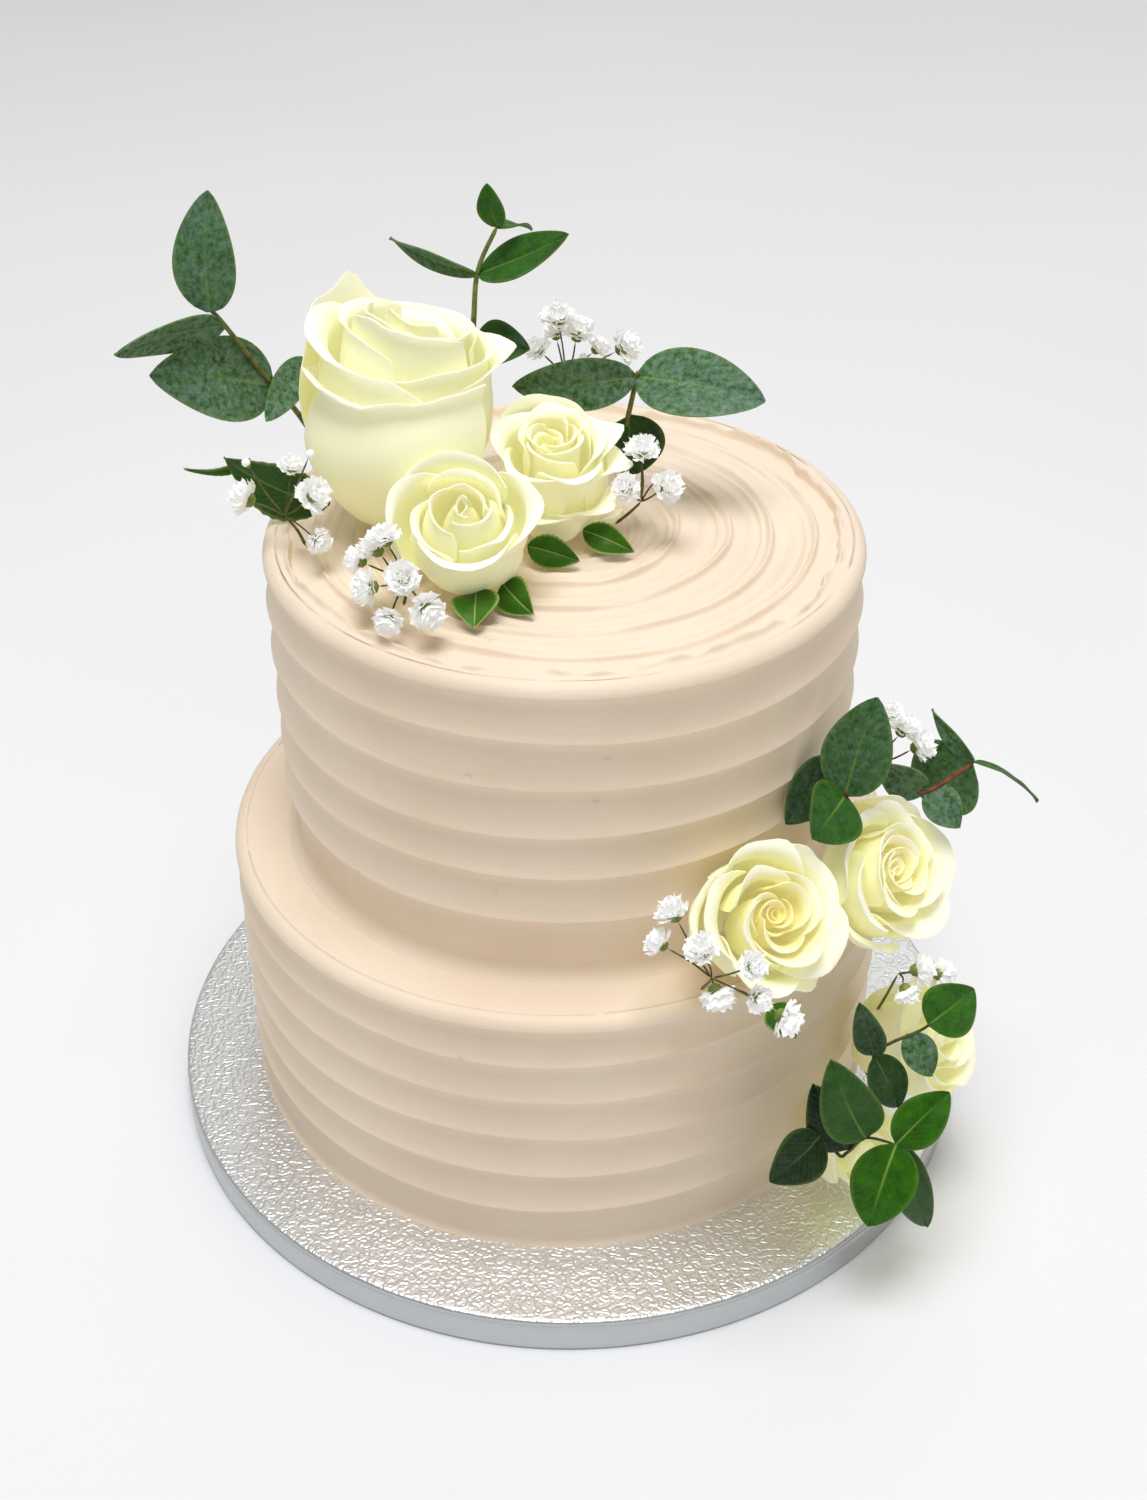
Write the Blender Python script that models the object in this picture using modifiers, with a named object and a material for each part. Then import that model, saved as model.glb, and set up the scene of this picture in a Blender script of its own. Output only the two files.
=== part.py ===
"""A two-tier cake in combed buttercream, dressed with cut flowers, on its foil-covered board.

The cake stands at the origin: Z is up, X runs to the right as the cake is seen from its
front, and Y runs away from the front. The board's underside is at Z = 0. Sizes are in
millimetres and become metres where a mesh is made. Everything that is its own piece on the
real cake is its own closed solid: the board, the two tiers, each rose, each sprig of
eucalyptus, each spray of gypsophila and each loose leaf.
"""

import math
import random

import bpy
import bmesh
from mathutils import Vector

MM = 0.001
GAP = 0.3

# Board: a ten-inch drum with a rolled foil edge
BOARD_RADIUS = 127.0
BOARD_HEIGHT = 12.0
BOARD_EDGE = 1.2
BOARD_SEGMENTS = 44

# Tiers, each spread by hand a little off the board's centre
BOTTOM_CENTRE = (-2.8, 0.0)
BOTTOM_RADIUS = 100.0
BOTTOM_FOOT = BOARD_HEIGHT + GAP
BOTTOM_TOP = 101.0
BOTTOM_CRESTS = (85.2, 70.6, 56.2, 41.9, 27.9)
TOP_CENTRE = (-1.1, 0.0)
TOP_RADIUS = 84.6
TOP_FOOT = BOTTOM_TOP + GAP
TOP_TOP = 197.0
TOP_CRESTS = (181.5, 166.6, 151.5, 137.9, 122.8)
RIM_ROUND = 3.8

# Comb marks: coves down the sides, beads round the top
COVE_DEPTH = 1.5
COVE_SHAPE = ((0.12, 0.85), (0.62, 0.80), (1.0, 0.0))
FOOT_TUCK = 3.2
FOOT_FILLET = 1.0
BEAD_RADII = (32.5, 46.0, 58.5, 70.0)
BEAD_HALF_WIDTH = 2.6
BEAD_HEIGHT = 1.2
LIP_INNER_RADIUS = 77.0
LIP_HEIGHT = 0.8
TIER_SEGMENTS = 32

# Flowers and leaves
LEAF_THICKNESS = 0.8
FIRST_STATION = 0.16
LAST_STATION = 0.86
STEM_RADIUS = 1.1
TWIG_RADIUS = 0.45
BLOSSOM_WIDTH = 8.6
BUD_WIDTH = 3.0
FRONT = Vector((0.0, -0.82, 0.57))
BACK = Vector((0.0, 1.0, 0.01))
SEED = 7

rng = random.Random(SEED)


# Scene and materials

for old in list(bpy.data.objects):
    bpy.data.objects.remove(old, do_unlink=True)

cake = bpy.data.collections.new("tiered_cake")
bpy.context.scene.collection.children.link(cake)


def linear(channel):
    """One sRGB channel from 0 to 1 as linear light."""
    if channel <= 0.04045:
        return channel / 12.92
    return ((channel + 0.055) / 1.055) ** 2.4


def make_material(name, hex_colour, roughness, metallic=0.0):
    mat = bpy.data.materials.new(name)
    mat.use_nodes = True
    shader = mat.node_tree.nodes["Principled BSDF"]
    rgb = [linear(int(hex_colour[i:i + 2], 16) / 255) for i in (0, 2, 4)]
    shader.inputs["Base Color"].default_value = (*rgb, 1.0)
    shader.inputs["Roughness"].default_value = roughness
    shader.inputs["Metallic"].default_value = metallic
    mat.diffuse_color = (*rgb, 1.0)
    return mat


FOIL = make_material("silver_foil", "d4d6d3", 0.3, 1.0)
ICING = make_material("buttercream", "e6d2b8", 0.55)
PETAL = make_material("rose_petal", "f7f5c4", 0.6)
GUM_LEAF = make_material("eucalyptus_leaf", "456a3a", 0.5)
ROSE_LEAF = make_material("rose_leaf", "2c5a12", 0.4)
BLOSSOM = make_material("gypsophila_blossom", "f2f1e4", 0.7)


# Mesh helpers

def add_object(name, mesh, mat):
    """Put a finished mesh in the cake's collection under its own name."""
    obj = bpy.data.objects.new(name, mesh)
    mesh.materials.clear()
    mesh.materials.append(mat)
    cake.objects.link(obj)
    return obj


def evaluated_mesh(obj):
    """The object's mesh with its modifiers applied."""
    bpy.context.view_layer.update()
    graph = bpy.context.evaluated_depsgraph_get()
    return bpy.data.meshes.new_from_object(obj.evaluated_get(graph))


def smooth(mesh, degrees=50):
    mesh.shade_smooth()
    mesh.set_sharp_from_angle(angle=math.radians(degrees))


def triangulate(mesh):
    bm = bmesh.new()
    bm.from_mesh(mesh)
    bmesh.ops.triangulate(bm, faces=bm.faces)
    bm.to_mesh(mesh)
    bm.free()


def turned(name, profile, centre, segments, mat):
    """Turn a profile of (radius, height) points, listed from the top's centre down."""
    mesh = bpy.data.meshes.new(name)
    points = [(r * MM, 0.0, z * MM) for r, z in profile]
    edges = [(i, i + 1) for i in range(len(points) - 1)]
    mesh.from_pydata(points, edges, [])
    obj = add_object(name, mesh, mat)
    obj.location = (centre[0] * MM, centre[1] * MM, 0.0)
    screw = obj.modifiers.new("turn", "SCREW")
    screw.steps = segments
    screw.render_steps = segments
    screw.use_merge_vertices = True
    screw.merge_threshold = 0.00005
    screw.use_smooth_shade = True
    return obj


# Board and tiers

def board_profile():
    """Flat top and bottom, with the foil rolled over both edges."""
    r, h, e = BOARD_RADIUS, BOARD_HEIGHT, BOARD_EDGE
    return [(0, h), (r - e, h), (r, h - e), (r, e), (r - e, 0), (0, 0)]


def cove(radius, upper, lower):
    """One comb mark down to the next crest: tucked in fast, then flared back out."""
    points = []
    for share, depth in COVE_SHAPE:
        points.append((radius - COVE_DEPTH * depth, upper + (lower - upper) * share))
    return points


def rim(radius, top):
    """The rounded upper edge of a tier."""
    points = []
    for step in range(3):
        turn = math.radians(15 + 30 * step)
        inset = RIM_ROUND * (1 - math.sin(turn))
        drop = RIM_ROUND * (1 - math.cos(turn))
        points.append((radius - inset, top - drop))
    return points


def side(radius, top, crests, foot, tuck, foot_radius):
    """The whole combed side, from the rounded rim down to the tucked-in foot."""
    points = rim(radius, top)
    upper = top - RIM_ROUND
    for crest in crests:
        points += cove(radius, upper, crest)
        upper = crest
    run = upper - foot
    points.append((radius - tuck * 0.7, upper - 0.12 * run))
    points.append((radius - tuck, upper - 0.5 * run))
    points.append((foot_radius, foot + FOOT_FILLET))
    points.append((foot_radius, foot))
    return points


def bottom_profile():
    """The lower tier: a smooth ledge that shows, and a flat middle under the upper tier."""
    points = [(0, BOTTOM_TOP), (TOP_RADIUS, BOTTOM_TOP)]
    points += side(BOTTOM_RADIUS, BOTTOM_TOP, BOTTOM_CRESTS, BOTTOM_FOOT, COVE_DEPTH,
                   BOTTOM_RADIUS)
    points.append((0, BOTTOM_FOOT))
    return points


def top_profile():
    """The upper tier: beads round the top face, a low lip, then the combed side."""
    points = [(0, TOP_TOP)]
    for radius in BEAD_RADII:
        points.append((radius - BEAD_HALF_WIDTH, TOP_TOP))
        points.append((radius, TOP_TOP + BEAD_HEIGHT))
        points.append((radius + BEAD_HALF_WIDTH, TOP_TOP))
    points.append((LIP_INNER_RADIUS, TOP_TOP))
    points.append((LIP_INNER_RADIUS + 1.0, TOP_TOP + LIP_HEIGHT))
    points += side(TOP_RADIUS, TOP_TOP + LIP_HEIGHT, TOP_CRESTS, TOP_FOOT, FOOT_TUCK,
                   TOP_RADIUS - FOOT_TUCK)
    points.append((0, TOP_FOOT))
    return points


turned("board", board_profile(), (0, 0), BOARD_SEGMENTS, FOIL)
turned("bottom_tier", bottom_profile(), BOTTOM_CENTRE, TIER_SEGMENTS, ICING)
turned("top_tier", top_profile(), TOP_CENTRE, TIER_SEGMENTS, ICING)


# Roses

# Each ring of a rose: share of its radius, share of its height, depth of its lobes, whorl
ROSE_RINGS = (
    (0.12, 0.02, 0.00, 0),
    (0.56, 0.16, 0.02, 0),
    (0.86, 0.44, 0.05, 0),
    (1.00, 0.80, 0.07, 0),
    (0.92, 0.87, 0.06, 0),
    (0.79, 0.72, 0.05, 1),
    (0.70, 0.95, 0.07, 1),
    (0.57, 0.78, 0.05, 2),
    (0.46, 1.00, 0.07, 2),
    (0.33, 0.84, 0.04, 3),
    (0.20, 1.00, 0.05, 3),
)
HEART_HEIGHT = 0.88
LOBES = 4
WHORL_TURN = math.radians(41)


def frame_along(axis):
    """Two directions square to an axis: to its right, and away from the cake's front."""
    away = BACK - axis * BACK.dot(axis)
    away.normalize()
    return away.cross(axis), away


def loft(name, start, rings, end):
    """A closed skin from a start point over rings of points, in order, to an end point."""
    bm = bmesh.new()
    first = bm.verts.new(Vector(start) * MM)
    last = bm.verts.new(Vector(end) * MM)
    rows = [[bm.verts.new(place * MM) for place in ring] for ring in rings]
    count = len(rows[0])
    for step in range(count):
        after = (step + 1) % count
        bm.faces.new((first, rows[0][after], rows[0][step]))
        for below, above in zip(rows, rows[1:]):
            bm.faces.new((below[step], below[after], above[after], above[step]))
        bm.faces.new((last, rows[-1][step], rows[-1][after]))
    bmesh.ops.triangulate(bm, faces=bm.faces)
    mesh = bpy.data.meshes.new(name)
    bm.to_mesh(mesh)
    bm.free()
    return mesh


def rose(name, foot, face, radius, segments=16, phase=0.0, belly=0.0, lift=0.0, lift_turn=0.0):
    """A rose head from its stalk to its open face, as rings run up the cup and into the heart.

    Belly swells the cup below its rim, and lift raises one outer petal, at lift_turn degrees.
    """
    foot = Vector(foot)
    axis = Vector(face) - foot
    height = axis.length
    axis.normalize()
    across, up = frame_along(axis)
    rings = []
    for share, level, lobe, whorl in ROSE_RINGS:
        ring = []
        for step in range(segments):
            angle = math.tau * step / segments
            wave = math.cos(LOBES * (angle - phase) + LOBES * WHORL_TURN * whorl)
            reach = radius * share * (1 + lobe * wave)
            rise = height * (level + 0.35 * lobe * wave)
            if whorl == 0:
                reach += radius * belly * math.sin(math.pi * min(level / 0.8, 1.0))
                petal = max(0.0, math.cos(angle - math.radians(lift_turn))) ** 6
                rise += lift * petal * max(0.0, level - 0.5) / 0.35
            outward = across * math.cos(angle) + up * math.sin(angle)
            ring.append(foot + axis * rise + outward * reach)
        rings.append(ring)
    heart = foot + axis * height * HEART_HEIGHT
    mesh = loft(name, foot, rings, heart)
    smooth(mesh, 60)
    return add_object(name, mesh, PETAL)


rose("rose_tall", (-50, 3, 198.2), (-43.5, 5, 256), 27.5, segments=20, phase=0.4,
     belly=0.09, lift=12, lift_turn=140)
rose("rose_front", (-28, -27.5, 200.5), (-27.5, -41.5, 226), 19.0, phase=0.9, belly=0.03)
rose("rose_right", (-5, 2, 200.0), (-4.5, -8, 231), 17.0, phase=1.0, belly=0.14)
rose("rose_ledge_left", (46, -77, 117), (55.5, -94, 134), 21.0, phase=0.5)
rose("rose_ledge_right", (77.5, -54.5, 114.5), (93, -67.5, 128.5), 23.5, phase=1.2)
rose("rose_low_right", (90.3, -47.6, 41), (112, -62, 60), 18.5, phase=0.7)
rose("rose_low_left", (77, -63.8, 26), (91, -84, 34), 14.0, phase=0.1)


# Leaves

def leaf_width(share, pointed):
    """Half the outline of a leaf at a share of its length, widest below the middle."""
    fullness = 0.62 if not pointed else 0.85
    return math.sin(math.pi * share ** 0.78) ** fullness


def leaf(root, tip, width, turn=0, bend=0.06, stations=3, pointed=False):
    """A thin wavy leaf, both faces split alike.

    Turn, in degrees, rolls the blade about its length, from 0 where its broad side faces
    the front. Bend is the rise of its middle as a share of its length.
    """
    root = Vector(root)
    tip = Vector(tip)
    along = (tip - root).normalized()
    length = (tip - root).length
    across = along.cross(FRONT).normalized()
    normal = across.cross(along)
    roll = math.radians(turn)
    across, normal = (across * math.cos(roll) + normal * math.sin(roll),
                      normal * math.cos(roll) - across * math.sin(roll))
    bm = bmesh.new()
    wave = rng.uniform(-0.5, 0.5)

    def spot(share, sideways):
        half = 0.5 * width * leaf_width(share, pointed)
        rise = bend * length * 4 * share * (1 - share)
        rise += 0.10 * width * abs(sideways) + wave * sideways * math.sin(4 * share)
        place = root + along * length * share + across * half * sideways + normal * rise
        return bm.verts.new(place * MM)

    start = bm.verts.new(root * MM)
    end = bm.verts.new(tip * MM)
    rows = []
    for step in range(stations):
        share = FIRST_STATION + (LAST_STATION - FIRST_STATION) * step / (stations - 1)
        rows.append([spot(share, sideways) for sideways in (-1, 0, 1)])
    for left, right in ((0, 1), (1, 2)):
        bm.faces.new((start, rows[0][right], rows[0][left]))
        bm.faces.new((end, rows[-1][left], rows[-1][right]))
    for low, high in zip(rows, rows[1:]):
        for left, right in ((0, 1), (1, 2)):
            bm.faces.new((low[left], low[right], high[right]))
            bm.faces.new((low[left], high[right], high[left]))
    bmesh.ops.recalc_face_normals(bm, faces=bm.faces)
    mesh = bpy.data.meshes.new("leaf")
    bm.to_mesh(mesh)
    bm.free()
    blade = bpy.data.objects.new("leaf", mesh)
    cake.objects.link(blade)
    thick = blade.modifiers.new("blade", "SOLIDIFY")
    thick.thickness = LEAF_THICKNESS * MM
    thick.offset = 0.0
    solid = evaluated_mesh(blade)
    bpy.data.objects.remove(blade, do_unlink=True)
    triangulate(solid)
    return solid


def stem(points, radius):
    """A round stem along a few points, as one welded closed mesh."""
    curve = bpy.data.curves.new("stem", "CURVE")
    curve.dimensions = "3D"
    curve.bevel_depth = radius * MM
    curve.bevel_resolution = 0
    curve.use_fill_caps = True
    line = curve.splines.new("POLY")
    line.points.add(len(points) - 1)
    for knot, place in zip(line.points, points):
        knot.co = (*(Vector(place) * MM), 1.0)
    obj = bpy.data.objects.new("stem", curve)
    cake.objects.link(obj)
    mesh = evaluated_mesh(obj)
    bpy.data.objects.remove(obj, do_unlink=True)
    bm = bmesh.new()
    bm.from_mesh(mesh)
    bmesh.ops.remove_doubles(bm, verts=bm.verts, dist=0.00001)
    bmesh.ops.triangulate(bm, faces=bm.faces)
    bmesh.ops.recalc_face_normals(bm, faces=bm.faces)
    bm.to_mesh(mesh)
    bm.free()
    return mesh


def joined(name, meshes, mat):
    """One Boolean union of a first mesh with a collection of the others, applied."""
    body = add_object(name, meshes[0], mat)
    extra = bpy.data.collections.new(name + "_pieces")
    bpy.context.scene.collection.children.link(extra)
    for mesh in meshes[1:]:
        extra.objects.link(bpy.data.objects.new(name + "_piece", mesh))
    union = body.modifiers.new("union", "BOOLEAN")
    union.operation = "UNION"
    union.operand_type = "COLLECTION"
    union.collection = extra
    union.solver = "EXACT"
    result = evaluated_mesh(body)
    body.modifiers.remove(union)
    body.data = result
    for piece in list(extra.objects):
        bpy.data.objects.remove(piece, do_unlink=True)
    bpy.data.collections.remove(extra)
    triangulate(result)
    smooth(result)
    result.materials.clear()
    result.materials.append(mat)
    return body


def sprig(name, stems, leaves):
    """Eucalyptus: stems with oval leaves in pairs, fused into one piece."""
    meshes = [stem(points, STEM_RADIUS) for points in stems]
    meshes += [leaf(*entry) for entry in leaves]
    return joined(name, meshes, GUM_LEAF)


# Each leaf: root, tip, width, turn, bend, rows across its length
sprig("eucalyptus_top_left",
      [[(-68, 31, 198.8), (-77, 26, 219.5), (-82, 16, 233), (-92, 8, 254), (-95, 5, 260)],
       [(-82, 16, 233), (-78, 16, 231.5)]],
      [((-95, 5, 259), (-93, 10, 290), 17, 5, 0.05, 4),
       ((-92, 8, 254), (-117, -14, 255), 13, 70, -0.06, 4),
       ((-82, 16, 233), (-111, -4, 245), 23, 8, 0.06, 4),
       ((-73.5, 26, 236.5), (-83, 6, 227), 10, 30, 0.0, 3)])
sprig("eucalyptus_top_middle",
      [[(-31, 38, 197.8), (-27, 35, 242), (-25, 32, 260), (-19, 30, 274)]],
      [((-19, 30, 273), (-22, 30, 285), 8, 30, 0.08, 3),
       ((-19.5, 30, 273), (-10, 38, 269.5), 6, 60, 0.1, 3),
       ((-25, 32, 259), (-50, 44, 265), 7, 70, 0.06, 3),
       ((-25, 32, 259), (0, 22, 274), 12, 20, -0.05, 4),
       ((-27.2, 35.2, 237), (-11, 27, 239), 14, 10, 0.1, 3)])
sprig("eucalyptus_top_right",
      [[(13, 38, 197.8), (15.5, 26, 212), (19, 22, 232), (19.5, 21.5, 235)]],
      [((19, 22, 233), (54, 8, 232), 21, 12, 0.05, 4),
       ((19, 22, 233), (-16, 31, 226), 15, 25, 0.08, 4),
       ((17, 24.4, 220), (19, 27.5, 200), 20, 5, 0.08, 3)])
sprig("eucalyptus_ledge_left",
      [[(68.6, -50.9, 139), (72, -57, 145), (74.5, -62, 149.4), (74.4, -63, 150)],
       [(71, -55.2, 143.2), (73, -51, 154)]],
      [((74.5, -62, 149.2), (82.5, -50, 173), 19, 10, 0.06, 4),
       ((74.5, -62, 149.4), (64.5, -77, 146), 19, 14, 0.06, 4),
       ((73, -51, 153.6), (59, -62.5, 140), 15, 18, 0.06, 4)])
sprig("eucalyptus_ledge_right",
      [[(78.7, -34.7, 134), (86, -36, 136), (94, -40, 137), (100, -45, 138), (115, -36, 142)]],
      [((114.6, -36.2, 142), (102.6, -28, 154.5), 5, 50, 0.08, 3),
       ((114.8, -36, 142), (134.5, -36, 128), 5, 72, 0.08, 3),
       ((114.2, -36.4, 141.6), (100.5, -30, 127), 24, 0, 0.06, 4),
       ((100, -45, 138), (86.5, -42, 146), 12, 40, 0.06, 3),
       ((100, -45, 138), (109.5, -51, 130), 13, 30, 0.06, 3)])
sprig("eucalyptus_low_right",
      [[(75.5, -65.5, 67), (86, -83, 62), (85.3, -88, 78), (98, -86, 86), (101, -85, 88)]],
      [((100, -85.4, 87.4), (112.5, -80, 96), 16, 0, 0.06, 4),
       ((94, -86.6, 85), (102, -90, 72.5), 10, 10, 0.08, 3),
       ((85.4, -88, 78), (79.5, -88, 98), 9, 15, 0.08, 3),
       ((85.4, -88, 78), (93.5, -90, 60), 12, 10, 0.08, 3)])
sprig("eucalyptus_low_left",
      [[(66, -73.8, 61), (70, -97, 57), (80, -94, 46), (83.5, -99, 57), (92, -100, 55.6)]],
      [((83.5, -99, 57), (70.5, -104, 92), 17, 6, 0.06, 4),
       ((92, -100, 55.6), (107, -92, 68), 14, 0, 0.06, 4),
       ((92, -100, 55.6), (85, -110, 33), 19, 0, 0.06, 4),
       ((91.8, -99.6, 55), (105, -97, 18), 12, 10, 0.06, 3),
       ((71, -97, 56), (56.5, -106, 47), 17, 20, 0.06, 4),
       ((80.2, -94, 46.4), (70, -92.5, 69), 12, 10, 0.08, 3)])


def loose_leaf(name, root, tip, width, turn=0, bend=0.10, stations=4):
    """A pointed rose leaf or sepal tucked under a flower."""
    mesh = leaf(root, tip, width, turn, bend, stations, pointed=True)
    smooth(mesh)
    return add_object(name, mesh, ROSE_LEAF)


loose_leaf("rose_leaf_left", (-67, 3, 203), (-95.5, 4, 217), 17, 40)
loose_leaf("sepal_left", (-90, 13, 212), (-107, 4, 213.5), 3, 40, 0.2, 3)
loose_leaf("rose_leaf_front", (-24, -45.5, 201), (-24, -58, 199.4), 11, -10, stations=3)
loose_leaf("rose_leaf_front_right", (-16.5, -41, 201.5), (-9, -51, 199.4), 9, -10, stations=3)
loose_leaf("rose_leaf_middle", (-11, -21, 203), (3, -24, 200), 9, -10, stations=3)
loose_leaf("rose_leaf_right", (4, -13, 203.5), (18, -19, 200), 8, -10, stations=3)
loose_leaf("rose_leaf_ledge", (53, -106, 113.5), (59, -114, 109.5), 9, 10, stations=3)


# Gypsophila

# Each ring of a blossom on its stalk: share of the blossom's width, height from its middle
BLOSSOM_RINGS = ((0.49, -0.08), (0.40, 0.30))
BLOSSOM_SIDES = 5
RUFFLE = 0.14


def blossom(fork, place, width):
    """A ruffled double blossom, with its fine straight stalk down to the fork."""
    fork = Vector(fork)
    place = Vector(place)
    axis = (place - fork).normalized()
    across, up = frame_along(axis)
    foot = fork - axis * TWIG_RADIUS
    rings = []
    for middle, reach in ((foot, TWIG_RADIUS), (place - axis * width * 0.45, TWIG_RADIUS)):
        rings.append([middle + (across * math.cos(turn) + up * math.sin(turn)) * reach
                      for turn in (math.tau * k / BLOSSOM_SIDES for k in range(BLOSSOM_SIDES))])
    for share, level in BLOSSOM_RINGS:
        ring = []
        for side_step in range(BLOSSOM_SIDES):
            turn = math.tau * side_step / BLOSSOM_SIDES
            reach = width * share * rng.uniform(1 - RUFFLE, 1 + RUFFLE)
            rise = width * (level + rng.uniform(-0.04, 0.04))
            outward = across * math.cos(turn) + up * math.sin(turn)
            ring.append(place + axis * rise + outward * reach)
        rings.append(ring)
    return loft("blossom", foot, rings, place + axis * width * 0.46)


def spray(name, root, fork, blossoms, buds=()):
    """Fine stalks from one root and fork, each with a blossom or a bud at its end."""
    meshes = [stem([root, fork], TWIG_RADIUS * 1.5)]
    ends = [(place, BLOSSOM_WIDTH) for place in blossoms]
    ends += [(place, BUD_WIDTH) for place in buds]
    for place, width in ends:
        meshes.append(blossom(fork, place, width * rng.uniform(0.92, 1.06)))
    return joined(name, meshes, BLOSSOM)


spray("gypsophila_top_left", (-72, -14, 198.8), (-77, -15, 209),
      [(-88.5, -12, 213), (-74, -14, 223.5), (-67.5, -22, 219), (-66.5, -26, 207)],
      [(-86.3, -12, 223), (-67, -27, 233)])
spray("gypsophila_front_left", (-43, -46, 199), (-42, -50, 208),
      [(-50, -45, 216.5), (-46.5, -49, 221.5), (-41.5, -58, 214.5), (-54.5, -46, 213), (-52, -53, 208.5),
       (-45.5, -63, 204.5), (-35, -64, 208)])
spray("gypsophila_right", (13, -1, 198.8), (20, -7, 209),
      [(20, 0, 222), (15.5, -16, 218), (27, -12, 216.5), (20, -9, 226)],
      [(24, -5, 215)])
spray("gypsophila_top_back", (0, 46, 198.8), (-1, 46, 222),
      [(-3, 44, 242), (-9, 42, 233), (3, 46, 237), (9, 48, 231), (17, 46, 232), (-4, 50, 235)],
      [(4, 44, 229)])
spray("gypsophila_ledge_left", (36, -88, 102.8), (37, -107, 124),
      [(26.5, -99, 140), (23, -102, 132), (34, -108, 135), (46.5, -116, 136), (38.5, -110, 120),
       (48.5, -117, 126), (56.5, -115, 117)],
      [(51, -112, 119)])
spray("gypsophila_ledge_back", (80, -31.5, 130), (87, -37, 142),
      [(94, -36, 154), (89, -38, 160), (99, -38, 149)])
spray("gypsophila_low", (79.5, -60, 79), (87, -82, 92),
      [(105, -72.5, 94.5), (98, -77.5, 101), (94, -81, 95)])
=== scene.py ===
# %% [markdown]
# # A tiered cake with fresh flowers
# Two tiers of sponge under pale peach buttercream stand on a foil-covered board. The cream
# was combed on a turntable, so its sides carry long level coves. Cream-white roses,
# eucalyptus and gypsophila are laid on the top and down the right-hand side.
# The fixed solids come first. Each one has the right size and place but few faces, so every
# step below makes a finer piece in the same place and gives it a finish.

# %% Load the fixed model
import math

import bpy
import numpy as np
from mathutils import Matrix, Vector


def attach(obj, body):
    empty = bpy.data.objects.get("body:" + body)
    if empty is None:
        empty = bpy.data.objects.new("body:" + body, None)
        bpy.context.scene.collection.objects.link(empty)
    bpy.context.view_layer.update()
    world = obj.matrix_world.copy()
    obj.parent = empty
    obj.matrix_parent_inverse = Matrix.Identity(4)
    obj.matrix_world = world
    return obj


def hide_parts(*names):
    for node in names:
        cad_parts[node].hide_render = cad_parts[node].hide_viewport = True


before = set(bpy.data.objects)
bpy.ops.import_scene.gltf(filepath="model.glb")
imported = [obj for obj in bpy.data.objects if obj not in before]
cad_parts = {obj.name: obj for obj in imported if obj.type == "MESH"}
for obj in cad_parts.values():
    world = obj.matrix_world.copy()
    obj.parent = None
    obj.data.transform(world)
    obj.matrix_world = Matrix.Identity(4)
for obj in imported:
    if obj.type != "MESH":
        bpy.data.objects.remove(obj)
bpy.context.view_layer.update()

MM = 0.001

# %% [markdown]
# Colours are given as sRGB hex values, the way a screen shows them. A renderer works
# in linear light, so one function turns each hex value into linear numbers.

# %% Turn a hex colour to linear light
def paint(hex_colour):
    """A hex colour as linear red, green, blue and full alpha."""
    channels = [int(hex_colour[i:i + 2], 16) / 255 for i in (0, 2, 4)]
    return tuple(c / 12.92 if c <= 0.04045 else ((c + 0.055) / 1.055) ** 2.4
                 for c in channels) + (1.0,)


print("cream in linear light:", [round(c, 3) for c in paint("eedac2")])

# %% [markdown]
# A finish is a small graph of shader nodes. Building one by hand in the node editor is slow,
# and one helper for each kind of node would be long, so a single function adds any node,
# fills in its sockets and joins its inputs to earlier nodes. A node given as a source stands
# for its first output, which is nearly always the one that is meant.

# %% Add a node, start a finish
def join(finish, source, node, socket):
    """Join an output, or a node's first output, to one of a node's inputs."""
    source = source.outputs[0] if hasattr(source, "outputs") else source
    finish.node_tree.links.new(source, node.inputs[socket])


def add(finish, kind, values=None, links=None, stops=(), **settings):
    """Add one shader node with its settings, socket values, incoming links and colour stops."""
    node = finish.node_tree.nodes.new("ShaderNode" + kind)
    while len(stops) > 2 and len(node.color_ramp.elements) < len(stops):
        node.color_ramp.elements.new(0.5)
    for number, (stop, hex_colour) in enumerate(stops):
        node.color_ramp.elements[number].position = stop
        node.color_ramp.elements[number].color = paint(hex_colour)
    for key, value in settings.items():
        setattr(node, key, value)
    for socket, value in (values or {}).items():
        node.inputs[socket].default_value = value
    for socket, source in (links or {}).items():
        join(finish, source, node, socket)
    return node


def new_finish(name, values):
    """A new material with its Principled BSDF set, and that shader."""
    finish = bpy.data.materials.new(name)
    finish.use_nodes = True
    shader = finish.node_tree.nodes["Principled BSDF"]
    for socket, value in values.items():
        shader.inputs[socket].default_value = value
    return finish, shader


def per(size):
    """The texture scale at which one blotch or cell measures size millimetres."""
    return 1 / (size * MM)


# %% [markdown]
# Every piece here is a surface that bends smoothly, so a grid of points suits it: rows go one
# way, columns the other, and each square of four points is a face. Several grids can share
# one mesh, which is how a rose keeps its petals in one piece. Numbers that a finish needs,
# such as how near a point is to a petal's rim, are kept on the mesh as attributes.

# %% Collect grids into one mesh
SHARP_ANGLE = math.radians(55)


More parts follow.
